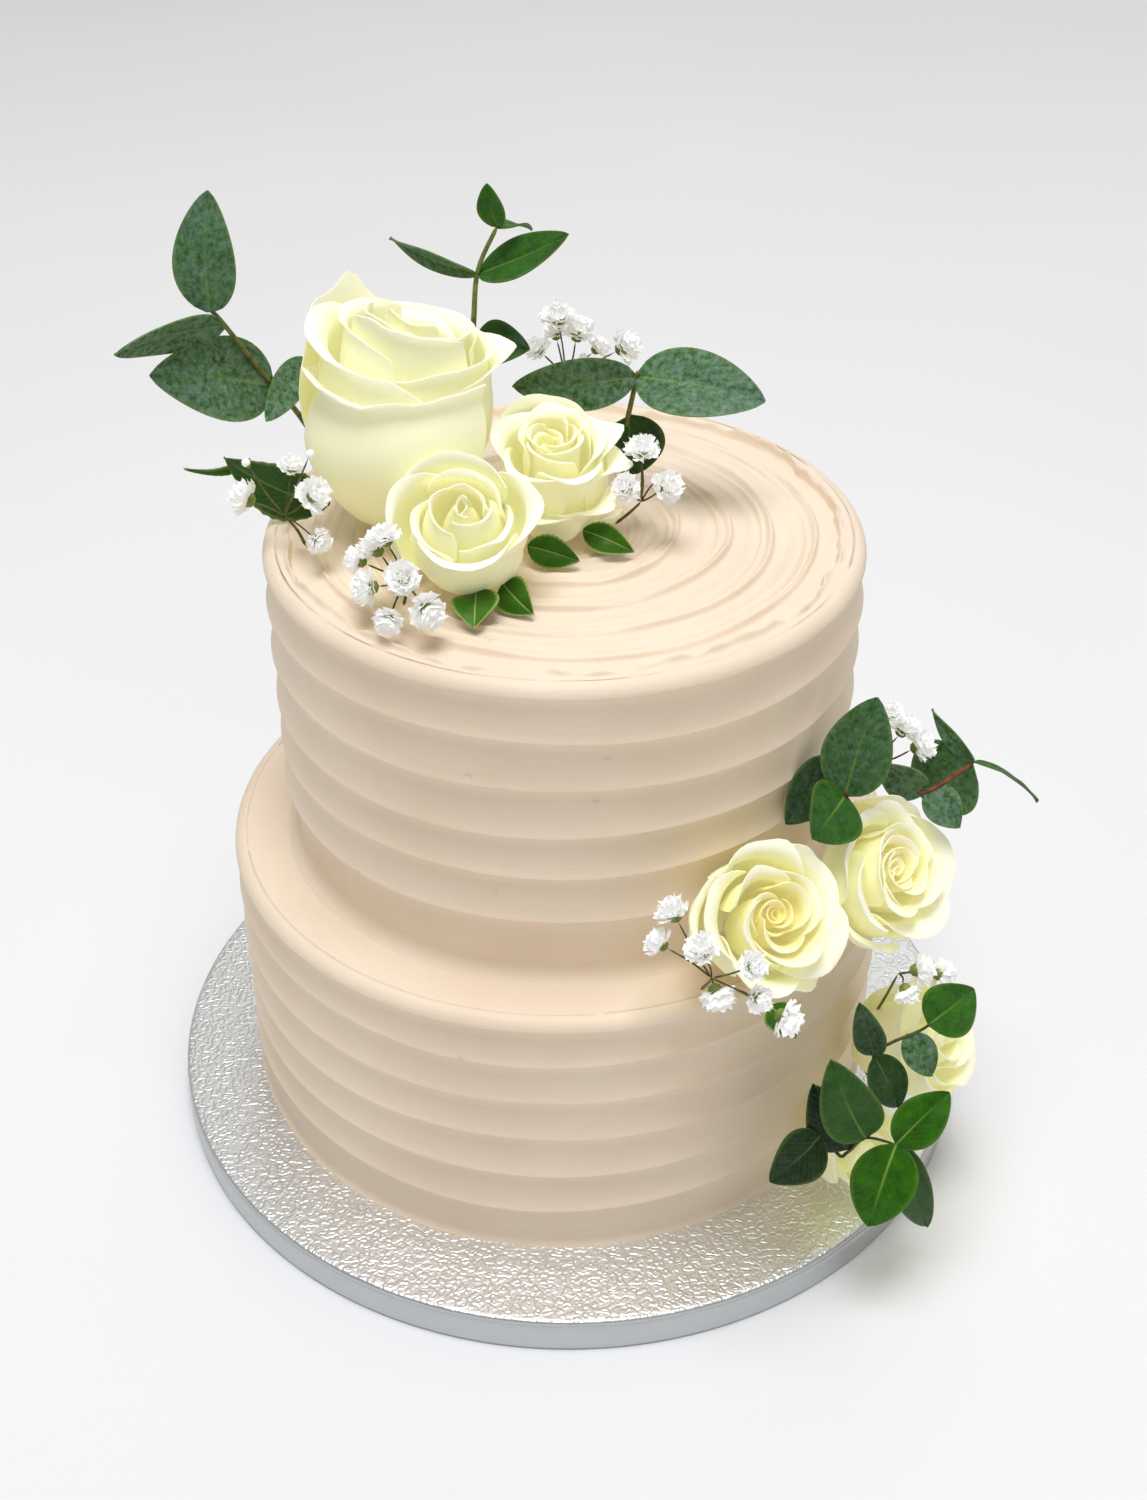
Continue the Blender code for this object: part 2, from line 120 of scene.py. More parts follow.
class Piece:
    """Points, faces and attributes gathered for one object."""

    def __init__(self, name):
        self.name = name
        self.points = []
        self.faces = []
        self.slots = []
        self.marks = {"place": [], "look": []}
        self.count = 0

    def grid(self, points, place=(0, 0, 0), look=(0, 0, 0), slot=0, closed=False):
        """Add a grid of rows by columns by 3, in millimetres, with two sets of numbers."""
        rows, columns = points.shape[:2]
        index = np.arange(rows * columns).reshape(rows, columns) + self.count
        if closed:
            index = np.concatenate([index, index[:, :1]], axis=1)
        quads = np.stack([index[:-1, :-1], index[:-1, 1:], index[1:, 1:], index[1:, :-1]], axis=-1)
        quads = quads.reshape(-1, 4)
        self.points.append(points.reshape(-1, 3))
        self.faces.append(quads)
        self.slots.append(np.full(len(quads), slot))
        self.marks["place"].append(np.broadcast_to(place, points.shape).reshape(-1, 3))
        self.marks["look"].append(np.broadcast_to(look, points.shape).reshape(-1, 3))
        self.count += rows * columns

    def build(self, finishes, node, thickness=0.0, under_slot=0):
        """Make the object, thicken it if asked, and let it stand for its solid."""
        points = np.concatenate(self.points) * MM
        faces = np.concatenate(self.faces)
        mesh = bpy.data.meshes.new(self.name)
        mesh.vertices.add(len(points))
        mesh.vertices.foreach_set("co", points.astype(np.float32).ravel())
        mesh.loops.add(faces.size)
        mesh.loops.foreach_set("vertex_index", faces.astype(np.int32).ravel())
        mesh.polygons.add(len(faces))
        mesh.polygons.foreach_set("loop_start", np.arange(0, faces.size, 4, dtype=np.int32))
        mesh.update(calc_edges=True)
        for finish in finishes:
            mesh.materials.append(finish)
        mesh.polygons.foreach_set("material_index", np.concatenate(self.slots).astype(np.int32))
        for mark, numbers in self.marks.items():
            layer = mesh.attributes.new(mark, "FLOAT_VECTOR", "POINT")
            layer.data.foreach_set("vector", np.concatenate(numbers).astype(np.float32).ravel())
        mesh.validate()
        mesh.shade_smooth()
        obj = bpy.data.objects.new(self.name, mesh)
        bpy.context.scene.collection.objects.link(obj)
        if thickness:
            sheet = obj.modifiers.new("thickness", "SOLIDIFY")
            sheet.thickness = thickness * MM
            sheet.offset = 0.0
            sheet.material_offset = under_slot
            bpy.context.view_layer.update()
            graph = bpy.context.evaluated_depsgraph_get()
            solid = bpy.data.meshes.new_from_object(obj.evaluated_get(graph))
            obj.modifiers.remove(sheet)
            obj.data = solid
            solid.shade_smooth()
            solid.set_sharp_from_angle(angle=SHARP_ANGLE)
        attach(obj, "root")
        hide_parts(node)
        print(self.name, len(obj.data.polygons), "faces")


# %% [markdown]
# ## The two tiers
# Buttercream is butter and sugar beaten with a little colour. It is spread thick, then a
# comb is held against it while the turntable turns. Each tooth leaves a cove: the cream
# turns in quickly under the ridge above, and curves back out over the lower half to the next
# ridge. A Screw modifier on one profile would give perfect rings. Working out every point
# instead lets the ridges waver a little, as a hand makes them waver.

# %% Waver round a circle
TURN = 2 * math.pi
AROUND = 360
ANGLES = np.linspace(0, TURN, AROUND, endpoint=False)[None, :]
# Waves round the tier, and the height in millimetres over which each moves by RUN_TURN radians
WAVES_UP = ((1, 61.0), (2, 37.0), (3, 53.0), (5, 29.0))
RUN_TURN = 3


def waver(angle, seed, waves):
    """A smooth random line round a circle, mostly from -1 to 1."""
    draw = np.random.default_rng(seed)
    total = np.zeros_like(angle)
    for wave in waves:
        total = total + draw.uniform(0.5, 1.0) * np.sin(wave * angle + draw.uniform(0, TURN))
    return total / len(waves) ** 0.5


def waver_up(angle, height, seed):
    """A slow random field over a tier's side."""
    draw = np.random.default_rng(seed)
    total = np.zeros_like(angle * height)
    for wave, run in WAVES_UP:
        start = draw.uniform(0, TURN)
        total = total + np.sin(wave * angle + height / run * draw.choice((-1, 1)) * RUN_TURN + start) / 2
    return total


def bead(off, width):
    """A soft ridge, 1 at its crest and fading with the distance from it."""
    return np.exp(-(off / width) ** 2)


def all_round(values):
    """A column of values, each the same at every angle round the cake."""
    return np.array(values, dtype=float)[:, None] + 0 * ANGLES


def turned(reach, height, angles=ANGLES, centre=(0.0, 0.0)):
    """Points round an upright axis at these radii and heights."""
    return np.stack([centre[0] + reach * np.cos(angles), centre[1] + reach * np.sin(angles),
                     height + 0 * angles], axis=-1)


print("points round a tier:", AROUND)

# %% The comb's mark, from one ridge down to the next
COVE_DEPTH = 1.7
RIM_ROUND = 3.8
# How far down a cove each row lies, and how deep the comb went there, as shares
MARK_SHARES = np.array((0, 0.025, 0.06, 0.11, 0.18, 0.28, 0.40, 0.52, 0.64, 0.75, 0.84, 0.90, 0.95, 0.98))
MARK_DEPTHS = COVE_DEPTH * np.array(
    (0, 0.20, 0.46, 0.70, 0.88, 0.98, 1.0, 0.95, 0.84, 0.69, 0.50, 0.33, 0.15, 0.04))


def comb_rows(top, crests):
    """Heights down a tier's side and how deep the comb went at each, in columns."""
    heights, depths = [], []
    for upper, lower in zip((top,) + crests, crests):
        heights.append(upper + (lower - upper) * MARK_SHARES)
        depths.append(MARK_DEPTHS)
    return np.concatenate(heights)[:, None], np.concatenate(depths)[:, None]


print("rows for one cove:", len(MARK_SHARES))

# %% Shape of a tier's side
# Rows from the lowest ridge to just past the foot, close together where the cream flares
FOOT_SHARES = np.array((0, 0.02, 0.05, 0.09, 0.14, 0.2, 0.3, 0.4, 0.5, 0.6, 0.7, 0.77, 0.82, 0.86, 0.89,
                        0.915, 0.935, 0.955, 0.97, 0.985, 1.0, 1.01, 1.02))
TUCK_RUN = 0.12
COVE_UNEVEN = 0.16
FLARE_UNEVEN = 0.14
CALM_ENDS = 8.0
SIDE_WANDER = 0.28
RIDGE_WANDER = 0.6


def combed_side(radius, top, crests, foot, tuck, spread, seed):
    """Radii and heights of the side, from under the rim to the foot.

    Tuck is how far the last stretch lies back under the lowest ridge. Spread is how far the
    cream flares out at the foot, and over what height.
    """
    height, depth = comb_rows(top, crests)
    low = FOOT_SHARES[:, None]
    height = np.concatenate([height, crests[-1] + (foot - crests[-1]) * low])
    depth = np.concatenate([depth, tuck * (1 - np.exp(-low / TUCK_RUN))])
    ends = np.clip((top - height) / CALM_ENDS, 0, 1) * np.clip((height - foot) / CALM_ENDS, 0, 1)
    depth = depth * (1 + COVE_UNEVEN * waver(ANGLES, seed + 1, (2, 5, 9, 14)))
    flare = np.clip((foot + spread[1] - height) / spread[1], 0, 1) ** 2.0
    reach = radius - depth + spread[0] * flare * (1 + FLARE_UNEVEN * waver(ANGLES, seed + 2, (3, 7, 12)))
    reach = reach + ends * SIDE_WANDER * waver_up(ANGLES, height + 20, seed + 3)
    return reach, height - ends * RIDGE_WANDER * waver_up(ANGLES, height, seed)


def rounded_rim(radius, top, rows):
    """Radii and heights over the rounded edge, from the top face to the side."""
    turn = all_round(np.linspace(0, math.pi / 2, rows, endpoint=False))
    return radius - RIM_ROUND * (1 - np.sin(turn)), top - RIM_ROUND * (1 - np.cos(turn))


# %% [markdown]
# The top face has five raised rings from the comb's tip, each a soft bead with a steeper
# outer side and two fainter lines inside it. Round the edge, cream pushed up from the side
# was wiped inward, and it tore into a thin ragged lip. The rows of points lie close together
# at each ring and at the lip, and wide apart where the cream is flat.

# %% Top face of the upper tier
TOP_RADIUS = 84.6
TOP_LEVEL = 197.0
LIP_HEIGHT = 1.2
LIP_RADIUS = 77.0
RINGS = ((21.0, 1.5), (32.5, 2.2), (46.0, 2.3), (58.5, 2.2), (70.0, 1.7))
RING_ROWS = (-9.3, -7.6, -7.1, -6.7, -6.3, -5.8, -4.6, -3.6, -3.2, -2.9, -2.6, -2.2, -1.8, -1.4, -1.0,
             -0.6, -0.3, 0.0, 0.3, 0.6, 0.95, 1.4, 2.2)
LIP_ROWS = (-2.8, -1.8, -1.1, -0.6, -0.25, 0.0, 0.25, 0.5, 0.8, 1.15, 1.6, 2.2, 3.0)
RING_INNER, RING_OUTER = 1.4, 0.6
FAINT_LINES = ((2.8, 1.0), (6.7, 0.55))
FAINT_WIDTH = 0.55
LIP_STEP = 0.16
BURR_HEIGHT, GROOVE_DEPTH = 1.5, 0.6
BURR_OUT, GROOVE_IN, BURR_WIDTH = 0.6, 0.7, 0.6
TEAR_REACH, TEAR_LIMIT = 2.6, 2.0
RING_WANDER = 0.7
CENTRE_HOLE = 0.4


def ringed_face():
    """Radii and heights of the ringed top face, with rows gathered at each ridge and the lip."""
    rows = [CENTRE_HOLE, 4.0, 8.0, TOP_RADIUS - RIM_ROUND] + [LIP_RADIUS + off for off in LIP_ROWS]
    rows += [middle + off for middle, _ in RINGS for off in RING_ROWS]
    even = np.unique(np.round(rows, 2))[:, None]
    height = TOP_LEVEL + 0.12 * waver_up(ANGLES, even, 40)
    for number, (middle, rise) in enumerate(RINGS):
        off = even - middle
        tall = rise * np.clip(0.82 + 0.32 * waver(ANGLES, 60 + number, (1, 3, 6, 11)), 0.2, 1.4)
        height = height + tall * bead(off, np.where(off < 0, RING_INNER, RING_OUTER))
        faint = np.clip(0.8 + 0.5 * waver(ANGLES, 70 + number, (2, 5, 8)), 0, 1.3)
        for inward, low in FAINT_LINES:
            height = height + low * faint * bead(off + inward, FAINT_WIDTH)
    past_lip = even - LIP_RADIUS
    step = 1 / (1 + np.exp(-past_lip / LIP_STEP))
    burr = np.clip(0.7 + 0.7 * waver(ANGLES, 82, (4, 11, 19, 31, 47)), 0, 1.5)
    height = height + LIP_HEIGHT * step + BURR_HEIGHT * burr * bead(past_lip - BURR_OUT, BURR_WIDTH)
    height = height - GROOVE_DEPTH * bead(past_lip + GROOVE_IN, BURR_WIDTH)
    ragged = 1.2 * waver(ANGLES, 80, (2, 5, 9, 15)) + 0.5 * waver(ANGLES, 81, (22, 31, 45, 67))
    ragged = np.clip(ragged, -TEAR_LIMIT, TEAR_LIMIT) * bead(past_lip, TEAR_REACH)
    inside = np.clip((TOP_RADIUS - RIM_ROUND - even) / 6, 0, 1) * np.clip(even / 20, 0, 1)
    return even + ragged + inside * RING_WANDER * waver_up(ANGLES, 3 * even, 50), height


print("rings on the top face:", len(RINGS))

# %% [markdown]
# Buttercream is fat and sugar full of air: nearly matt, with a weak waxy sheen. Light goes a
# millimetre into it and comes out warmer, which softens every edge. The comb drags fine
# lines round it, sugar leaves a faint grain, and a few air bubbles leave pits.

# %% Cream finish
CREAM, shader = new_finish("whipped_buttercream_combed", {
    "Roughness": 0.52,
    "IOR": 1.45,
    "Subsurface Weight": 0.08,
    "Subsurface Radius": (1.0, 0.62, 0.38),
    "Subsurface Scale": 1.0 * MM,
    "Specular IOR Level": 0.35,
})
where = add(CREAM, "TexCoord").outputs["Object"]
drift = add(CREAM, "TexNoise", {"Scale": per(45.455), "Detail": 3.0}, {"Vector": where})
tint = add(CREAM, "ValToRGB", links={"Fac": drift}, stops=((0.3, "eedac2"), (0.7, "f4e3cc")))
join(CREAM, tint, shader, "Base Color")
parts = add(CREAM, "SeparateXYZ", links={"Vector": where})
flat = add(CREAM, "CombineXYZ", links={"X": parts.outputs["X"], "Y": parts.outputs["Y"]})
spoke = add(CREAM, "VectorMath", links={0: flat}, operation="NORMALIZE")
ring = add(CREAM, "VectorMath", links={0: flat}, operation="LENGTH")
across = add(CREAM, "Math", {1: 1.0}, {0: ring.outputs["Value"], 1: parts.outputs["Z"]}, operation="ADD")
fine = add(CREAM, "Math", {1: per(1.1111)}, {0: across}, operation="MULTIPLY")
slow = add(CREAM, "VectorMath", {1: (5.0, 5.0, 5.0)}, {0: spoke}, operation="MULTIPLY")
drag = add(CREAM, "TexNoise", {"Scale": 1.0, "Detail": 4.0, "Roughness": 0.6},
           {"Vector": slow, "W": fine}, noise_dimensions="4D")
grain = add(CREAM, "TexNoise", {"Scale": per(1.42857), "Detail": 3.0}, {"Vector": where})
lines = add(CREAM, "Bump", {"Strength": 0.5, "Distance": 0.5 * MM}, {"Height": drag})
grainy = add(CREAM, "Bump", {"Strength": 0.18, "Distance": 0.3 * MM}, {"Height": grain, "Normal": lines})
pits = add(CREAM, "TexVoronoi", {"Scale": per(18.182), "Randomness": 1.0}, {"Vector": where})
pit = add(CREAM, "MapRange", {"From Min": 0.02, "From Max": 0.07, "To Min": 0.0, "To Max": 1.0},
          {"Value": pits})
pitted = add(CREAM, "Bump", {"Strength": 0.8, "Distance": 0.5 * MM}, {"Height": pit, "Normal": grainy})
join(CREAM, pitted, shader, "Normal")


# %% Lay a tier's rows of points into a piece
def lay_tier(name, node, centre, sections):
    """Stack sections of radii and heights into one closed skin round a centre."""
    reach = np.concatenate([section[0] for section in sections])
    height = np.concatenate([section[1] for section in sections])
    piece = Piece(name)
    piece.grid(turned(reach, height, centre=centre)[:, ::-1], closed=True)
    piece.build([CREAM], node)


SUNK = 0.5


def under_rows(foot, reach):
    """Two rings that close the underside, sunk a little into what the tier stands on."""
    return all_round([reach, CENTRE_HOLE]), all_round([foot - SUNK] * 2)


# %% The upper tier
TOP_CRESTS = (181.5, 166.6, 151.5, 137.9, 122.8)
TOP_FOOT = 100.6
RIM_ROWS = 9
top_edge = TOP_LEVEL + LIP_HEIGHT
lay_tier("top_tier_cream", "top_tier", (-1.1, 0.0), [
    ringed_face(),
    rounded_rim(TOP_RADIUS, top_edge, RIM_ROWS),
    combed_side(TOP_RADIUS, top_edge - RIM_ROUND, TOP_CRESTS, TOP_FOOT,
                tuck=3.6, spread=(4.4, 4.6), seed=10),
    under_rows(TOP_FOOT, 78.0),
])

# %% The lower tier, with its smooth ledge
BOTTOM_RADIUS = 100.0
BOTTOM_LEVEL = 101.0
BOTTOM_CRESTS = (85.2, 70.6, 56.2, 41.9, 27.9)
BOTTOM_FOOT = 11.8
LEDGE_START = 74.0
WIPE_LINES = (88.6, 92.4)
WIPE_HEIGHT, WIPE_WIDTH, WIPE_WANDER = 0.22, 0.9, 0.8


def smooth_ledge(rows):
    """Radii and heights of the wiped ledge, from under the upper tier outward."""
    reach = all_round(np.linspace(LEDGE_START, BOTTOM_RADIUS - RIM_ROUND, rows))
    height = BOTTOM_LEVEL + 0.15 * waver_up(ANGLES, reach * 2, 90)
    for number, middle in enumerate(WIPE_LINES):
        off = reach - middle - WIPE_WANDER * waver(ANGLES, 91 + number, (1, 3, 5, 8))
        shown = np.clip(waver(ANGLES, 95 + number, (1, 2, 4)), 0, 1)
        height = height + WIPE_HEIGHT * bead(off, WIPE_WIDTH) * shown
    return reach, height


lay_tier("bottom_tier_cream", "bottom_tier", (-2.8, 0.0), [
    (all_round([CENTRE_HOLE]), all_round([BOTTOM_LEVEL])),
    smooth_ledge(44),
    rounded_rim(BOTTOM_RADIUS, BOTTOM_LEVEL, RIM_ROWS),
    combed_side(BOTTOM_RADIUS, BOTTOM_LEVEL - RIM_ROUND, BOTTOM_CRESTS, BOTTOM_FOOT,
                tuck=1.5, spread=(1.2, 2.5), seed=20),
    under_rows(BOTTOM_FOOT, 94.0),
])

# %% [markdown]
# ## The board
# The board is thick card under silver foil, glued down and rolled over both edges. The foil
# was run between rollers that pressed wriggling worm-like marks about a millimetre wide into
# it, which scatter the shine. The marks are too fine to model, so the shader lifts the
# surface by the sine of a noise: its crests follow the noise's level lines, which wriggle.
# Foil is aluminium a few hundredths of a millimetre thick, so it mirrors like metal. On the
# flat top it is bright; where the surface turns from facing up, round the edge, it is a duller grey.

# %% Foil finish
EMBOSS_PITCH = 0.9
WRIGGLE = 2.6
FOIL, shader = new_finish("aluminium_foil_embossed", {"Metallic": 1.0})
where = add(FOIL, "TexCoord").outputs["Object"]
drift = add(FOIL, "TexNoise", {"Scale": per(WRIGGLE), "Detail": 1.0, "Roughness": 0.4}, {"Vector": where})
turns = add(FOIL, "Math", {1: 1.15 * TURN * WRIGGLE / EMBOSS_PITCH}, {0: drift}, operation="MULTIPLY")
worms = add(FOIL, "Math", links={0: turns}, operation="SINE")
facing = add(FOIL, "NewGeometry").outputs["Normal"]
upward = add(FOIL, "SeparateXYZ", links={"Vector": facing})
flat_top = add(FOIL, "MapRange", {"From Min": 0.6, "From Max": 0.95}, {"Value": upward.outputs["Z"]})
tone = add(FOIL, "MixRGB", {"Color1": paint("c4c7c8"), "Color2": paint("eef0f1")}, {"Fac": flat_top})
join(FOIL, tone, shader, "Base Color")
press = add(FOIL, "Math", links={0: worms, 1: flat_top}, operation="MULTIPLY")
raised = add(FOIL, "Bump", {"Strength": 0.8, "Distance": 0.09 * MM}, {"Height": press})
creases = add(FOIL, "TexNoise", {"Scale": per(16.667), "Detail": 2.0}, {"Vector": where})
soft = add(FOIL, "Bump", {"Strength": 0.12, "Distance": 1.5 * MM}, {"Height": creases, "Normal": raised})
join(FOIL, soft, shader, "Normal")
worn = add(FOIL, "MapRange", {"To Min": 0.36, "To Max": 0.46}, {"Value": creases})
join(FOIL, worn, shader, "Roughness")

# %% Board shape
BOARD_RADIUS = 127.0
BOARD_HEIGHT = 12.0
BOARD_EDGE = 1.2
FOIL_DENT = 0.10
# A fine line runs round the side just under the rim: height below the top, and depth
SIDE_LINE = ((1.7, 0.0), (2.1, 0.25), (2.5, 0.0))


def board_rows():
    """Radii and heights of the board, from its top's middle to its underside's middle."""
    r, h, edge = BOARD_RADIUS, BOARD_HEIGHT, BOARD_EDGE
    around = np.linspace(0, math.pi / 2, 6)
    outline = [(reach, h) for reach in (CENTRE_HOLE, 60.0, 96.0, 110.0, 120.0, 124.0)]
    outline += list(zip(r - edge * (1 - np.sin(around)), h - edge * (1 - np.cos(around))))
    outline += [(r - painted_shade_colour, h - down) for down, painted_shade_colour in SIDE_LINE] + [(r, 7.0), (r, 4.0)]
    outline += list(zip(r - edge * (1 - np.cos(around)), edge * (1 - np.sin(around))))
    outline += [(100.0, 0.0), (CENTRE_HOLE, 0.0)]
    reach, height = [all_round(values) for values in zip(*outline)]
    side = (height > 1.0) & (height < BOARD_HEIGHT - 1.0)
    dents = FOIL_DENT * waver(ANGLES, 30, (7, 16, 29, 47)) - FOIL_DENT
    return reach + np.where(side, dents, 0), height


board = Piece("board_foil")
board.grid(turned(*board_rows())[:, ::-1], closed=True)
board.build([FOIL], "board")

# %% [markdown]
# ## Roses
# A rose is a tight spiral of petals at its heart and wider, looser petals outside. Each one
# starts at the foot, swells into a cup, and rolls back at its rim. Sculpting seven flowers
# by hand would take days. Instead one function bends a flat grid into a petal round the
# flower's axis, and a loop lays petals from the heart outward, each turned by the golden
# angle, as a growing rose does. The skin of a petal is velvety: it has almost no shine. Light
# passes through several thin petals at once, more than a short path of bounces can follow,
# so a small even glow stands for it. Deep down a petal is greenish, at its rim nearly white.

# %% Petal finish
PETAL, shader = new_finish("rose_petal_velvet", {
    "Roughness": 0.6,
    "IOR": 1.4,
    "Specular IOR Level": 0.15,
    "Subsurface Weight": 0.25,
    "Subsurface Radius": (1.0, 0.97, 0.6),
    "Subsurface Scale": 1.2 * MM,
    "Emission Color": paint("fefada"),
    "Emission Strength": 0.12,
})
look = add(PETAL, "Attribute", attribute_name="look").outputs["Vector"]
look = add(PETAL, "SeparateXYZ", links={"Vector": look})
place = add(PETAL, "Attribute", attribute_name="place").outputs["Vector"]
body = add(PETAL, "ValToRGB", links={"Fac": look.outputs["Y"]}, stops=(
    (0.0, "e0de92"), (0.42, "f4f3bc"), (0.78, "fafad6"), (0.9, "fdfce6")))
golden = add(PETAL, "MixRGB", {"Color2": paint("f3e46e")}, {"Fac": look.outputs["Z"], "Color1": body})
edge = add(PETAL, "MixRGB", {"Color2": paint("fefde2")}, {"Fac": look.outputs["X"], "Color1": golden})
drawn_out = add(PETAL, "VectorMath", {1: (26.0, 3.0, 9.0)}, {0: place}, operation="MULTIPLY")
veins = add(PETAL, "TexNoise", {"Scale": 1.0, "Detail": 3.0}, {"Vector": drawn_out})
painted_shade_and_vein_tone = add(PETAL, "MapRange", {"From Min": 0.3, "From Max": 0.7, "To Min": 0.98, "To Max": 1.01},
            {"Value": veins})
veined = add(PETAL, "MixRGB", {"Fac": 1.0}, {"Color1": edge, "Color2": painted_shade_and_vein_tone}, blend_type="MULTIPLY")
join(PETAL, veined, shader, "Base Color")
ribs = add(PETAL, "Bump", {"Strength": 0.15, "Distance": 0.3 * MM}, {"Height": veins})
join(PETAL, ribs, shader, "Normal")

# %% Directions round a flower's axis
AWAY = Vector((0.0, 1.0, 0.01))


def frame_along(axis):
    """Two directions square to an axis: to its right, and away from the cake's front."""
    away = AWAY - axis * AWAY.dot(axis)
    away.normalize()
    return away.cross(axis), away


# %% One petal
PETAL_ROWS = 21
PETAL_COLUMNS = 19
# Shares of a petal's length: where its roll starts, and where its pale edge does
ROLL_START = 0.7
EDGE_START = 0.86
EDGE_WHITE = 0.7
PETAL_RISE = 1.1
FOLD_SHARE = 0.02
POINT_WIDTH = 0.22


def petal(centre, half, rim, level, curl, bend, sides, bulge, belly, ruffle, pale, seed,
          tip=0, turn=0, slope=0, heart=0, overlap=0.12, shift=(0, 0)):
    """One petal's points round an upright axis, with the numbers for its finish.

    Centre and half are its middle and half its width in degrees round the axis; rim and
    level are the radius and height of its mouth; slope tilts the mouth; belly is how far it
    swells below. The last stretch, curl millimetres long, rolls back by bend degrees. Tip is
    the length of its point, which turn sets to one side; ruffle is the height of its waves.
    """
    draw = np.random.default_rng(seed)
    rows = 1 - (1 - np.linspace(0.02, 1, PETAL_ROWS)) ** 1.35
    v, u = np.meshgrid(rows, np.linspace(-1, 1, PETAL_COLUMNS), indexing="ij")
    t = v * (1 - sides * np.abs(u) ** 2.6)
    wide = 0.40 + 0.60 * np.sin(math.pi * np.minimum(t, 0.75) / 1.5)
    angle = np.radians(centre) + np.radians(half) * u * wide
    body = np.clip(t / ROLL_START, 0, 1)
    over = np.clip((t - ROLL_START) / (1 - ROLL_START), 0, 1)
    tight = curl / math.radians(bend)
    facing_up = math.radians(min(bend, 90))
    mouth = level * (1 + slope * u) - tight * math.sin(facing_up)
    wave = draw.uniform(0, TURN, 3)
    reach = rim * np.sin(0.5 * math.pi * body) ** bulge * (1 + overlap * u)
    reach = reach * (1 + belly * np.sin(math.pi * body ** 1.3))
    reach = reach * (1 + FOLD_SHARE * np.sin(math.pi * body) * np.sin(7 * u + 2 * v + wave[0]))
    reach = reach + tight * (1 - np.cos(over * math.radians(bend)))
    lift = mouth * body ** PETAL_RISE + tight * np.sin(over * math.radians(bend))
    reach = reach + ruffle * over * np.sin(3.1 * u + wave[0])
    frill = np.sin(4.3 * u + wave[1]) + 0.4 * np.sin(9 * u + wave[2]) + 0.25 * np.sin(17 * u + wave[0])
    lift = lift + ruffle * over * frill
    point = bead(u - turn, POINT_WIDTH) * v ** 6
    reach = reach + tip * point * math.sin(facing_up)
    lift = lift + tip * point * math.cos(facing_up)
    points = np.stack([reach * np.cos(angle) + shift[0] * body,
                       reach * np.sin(angle) + shift[1] * body, lift], axis=-1)
    place = np.stack([u * half / 50, v, np.full_like(u, draw.uniform(0, 9))], axis=-1)
    edge = np.clip((t - EDGE_START) / (1 - EDGE_START), 0, 1) * EDGE_WHITE
    tone = np.stack([edge, pale + (1 - pale) * t, np.full_like(u, heart)], axis=-1)
    return points, place, tone


# %% A whole flower
GOLDEN_ANGLE = 137.5
PETAL_THICK = 0.4
# Whorls from the heart outward: petals, then the mouth's radius and height as shares, half
# width in degrees, the length that rolls back as a share of the radius, the degrees that it
# rolls by, how golden the whorl is, and how far it swells below its mouth
CUP = (
    (3, 0.09, 0.98, 90, 0.04, 34, 0.8, 2.20),
    (3, 0.32, 1.00, 80, 0.10, 52, 0.5, 0.60),
    (3, 0.56, 0.96, 74, 0.15, 60, 0.2, 0.25),
    (4, 0.80, 0.88, 66, 0.24, 80, 0.0, 0.10),
)
OPEN = (
    (3, 0.05, 0.78, 150, 0.03, 35, 1.0, 0.2),
    (3, 0.11, 0.84, 130, 0.05, 45, 1.0, 0.1),
    (3, 0.19, 0.90, 105, 0.08, 52, 0.9, 0.06),
    (3, 0.31, 0.98, 90, 0.13, 62, 0.6, 0.06),
    (4, 0.46, 0.97, 76, 0.19, 76, 0.3, 0.06),
    (5, 0.69, 0.86, 64, 0.31, 94, 0.0, 0.06),
)

# An outer petal is given by its own numbers in this order, in millimetres and degrees. The last
# four are nought where they are left out.
OUTER = ("centre", "half", "rim", "level", "curl", "bend", "sides", "bulge", "belly", "ruffle", "tip",
         "turn", "slope", "heart")


def lay_rose(name, foot, face, radius, whorls, start_turn, glow, pale, seed, outer=(), lean=0.0):
    """Whorls of petals from the heart outward, then any outer ones given one by one.

    Foot and face are the ends of the flower's axis; glow is how golden its heart is; pale is
    how much of the green at the petals' feet is lost; lean lowers the side at the front.
    """
    foot = Vector(foot)
    axis = Vector(face) - foot
    height = axis.length
    axis.normalize()
    across, away = frame_along(axis)
    basis = np.array([across[:], away[:], axis[:]])
    draw = np.random.default_rng(seed)
    piece = Piece(name + "_petals")
    number = 0
    for count, rim, level, half, curl, bend, golden, belly in whorls:
        first = start_turn + GOLDEN_ANGLE * number
        for step in range(count):
            centre = first + 360 * step / count + draw.uniform(-10, 10)
            shape = dict(
                centre=centre,
                half=half * draw.uniform(0.88, 1.12),
                rim=radius * rim * draw.uniform(0.90, 1.10),
                level=(height * level * (1 - lean * math.sin(math.radians(centre)))
                       * draw.uniform(0.96, 1.04)),
                heart=glow * golden,
                curl=radius * curl * draw.uniform(0.8, 1.3),
                bend=bend * draw.uniform(0.8, 1.25),
                bulge=0.38 + 0.06 * rim,
                slope=draw.uniform(-0.08, 0.08),
                overlap=0.26 - 0.14 * rim,
                sides=0.30 + 0.14 * rim,
                tip=radius * 0.14 * rim * draw.uniform(0, 1),
                turn=draw.uniform(-0.3, 0.3),
                ruffle=0.03 * radius * (0.3 + rim),
                belly=belly,
                shift=radius * draw.uniform(-0.06, 0.06, 2),
                pale=pale,
                seed=seed * 100 + number,
            )
            piece.grid(*placed(petal(**shape), basis, foot))
            number += 1
    for step, numbers in enumerate(outer):
        shape = dict(zip(OUTER, numbers), pale=pale, seed=seed * 100 + 60 + step)
        piece.grid(*placed(petal(**shape), basis, foot))
    piece.build([PETAL], name, thickness=PETAL_THICK)


